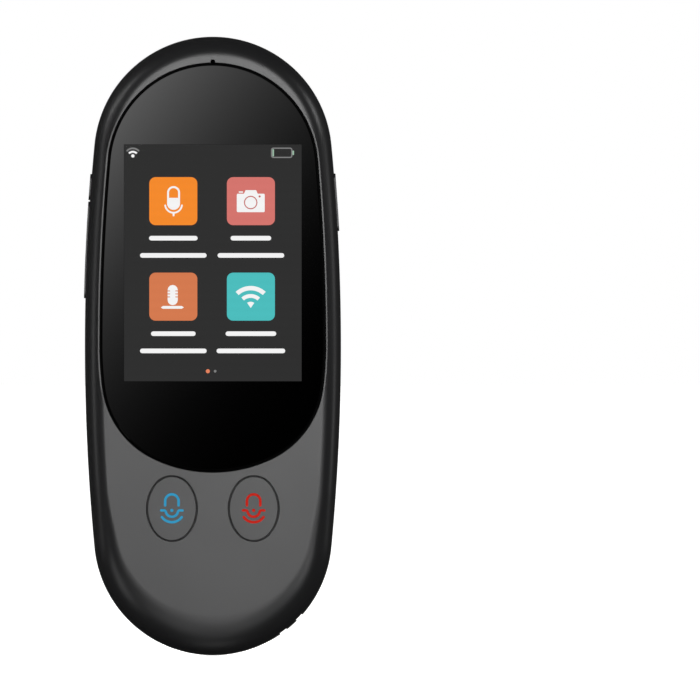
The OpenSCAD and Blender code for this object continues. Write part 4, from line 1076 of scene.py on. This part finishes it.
# Coated glass: almost black. The colour of its glints is painted by side: teal on one side
# and olive green on the other
PAINTED_GLINT_MM = 0.3
coated_lens, tree, shader, place = new_surface("coated_lens_glass_dark_green", "#0a1210", 0.12)
shader.inputs["IOR"].default_value = 1.7
# Painted glint colour: the reflection's tint runs from olive to teal across the lens
side = add_node(tree, "ShaderNodeSeparateXYZ", {"Vector": place}).outputs["X"]
turn = add_node(tree, "ShaderNodeMapRange",
    {"Value": side, "From Min": -PAINTED_GLINT_MM * MM, "From Max": PAINTED_GLINT_MM * MM}).outputs["Result"]
painted_glint_tint = add_node(tree, "ShaderNodeMix", {"Factor": turn}, data_type="RGBA")
painted_glint_tint.inputs["A"].default_value = linear("#b4c860")
painted_glint_tint.inputs["B"].default_value = linear("#70d8c4")
tree.links.new(painted_glint_tint.outputs["Result"], shader.inputs["Specular Tint"])
rim_low = bulge[-1][1]
front_lens = turned("camera_front_lens", bulge + [(LENS_R - LENS_EDGE, rim_low),
    (LENS_R, rim_low + LENS_EDGE), (LENS_R, LENS_TOP + LENS_T), (0, LENS_TOP + LENS_T)],
    coated_lens)
seat(front_lens, "root", "lens_glass", "camera_lens")
# A small lamp that only the lens mirrors gives the olive glint at its lower right
only_lens = bpy.data.collections.new("only_lens")
only_lens.objects.link(front_lens)
add_light("lens_glint", -160, -22, 0.2, 0.05, 0.5, only_lens)

# ---- Charging socket and microphone ----
# A drawn steel shell, plated black, with a moulded black tongue, and the microphone
# behind its boot of grey silicone.
# Drawn steel: a smooth, bright grey. Under black nickel it is dim and smoky.
SOCKET_EDGE = 0.06
steel = plain_surface("drawn_stainless_steel", "#b9bbbe", 0.25, metal=1.0,
    grain_mm=0.3, depth_mm=0.004)
black_nickel = plain_surface("black_nickel_plated_steel", "#2c2d2f", 0.35, metal=1.0,
    grain_mm=0.3, depth_mm=0.004)
softened("socket_shell", "socket_steel", black_nickel, SOCKET_EDGE, "root", "bracket_steel")
dress(black_abs, "socket_tongue")
# Silicone: soft, grey and dull
silicone = plain_surface("moulded_silicone_grey", "#8c8c8a", 0.6)
dress(silicone, "microphone_boot", "key_pad")
# The microphone takes the same dead black: a dust felt covers it, and the dead black is also
# painted shade deep in its hole
dress(black_cloth_and_hole_shade, "microphone")

# ---- Inside ----
# What the glass and the shells hide: the screen's layers, the board with its parts, the
# battery and the small electronics, each in its own real finish.

# The tape is dull black, the panel glossy black, and PBT a warm white with a soft sheen
dress(plain_surface("adhesive_tape_black", "#0d0d0e", 0.6), "window_tape")
dress(plain_surface("liquid_crystal_panel_glass", "#0a0a0c", 0.1), "screen_panel")
white_pbt = plain_surface("moulded_pbt_white", "#dcdad2", 0.45)
dress(white_pbt, "screen_backlight", "screen_connector", "battery_plug", "side_switches")
dress(steel, "screen_bracket", "board_screws", "processor_shield", "key_domes")
# Amber film shines, the board's green lacquer and the chips' epoxy only a little
film = plain_surface("polyimide_film_amber", "#9a5a1c", 0.3)
dress(film, "screen_flex", "antenna_strip")
dress(plain_surface("glass_epoxy_laminate_green", "#16402a", 0.4), "main_board")
dress(plain_surface("moulded_epoxy_black", "#18181a", 0.5), "memory_chips")
# The cell's foil is a soft silver over white tape
dress(plain_surface("laminated_aluminium_foil", "#9a9da2", 0.35, metal=0.9), "battery_cell")
dress(plain_surface("adhesive_tape_white", "#c8c8c6", 0.6), "battery_tape")
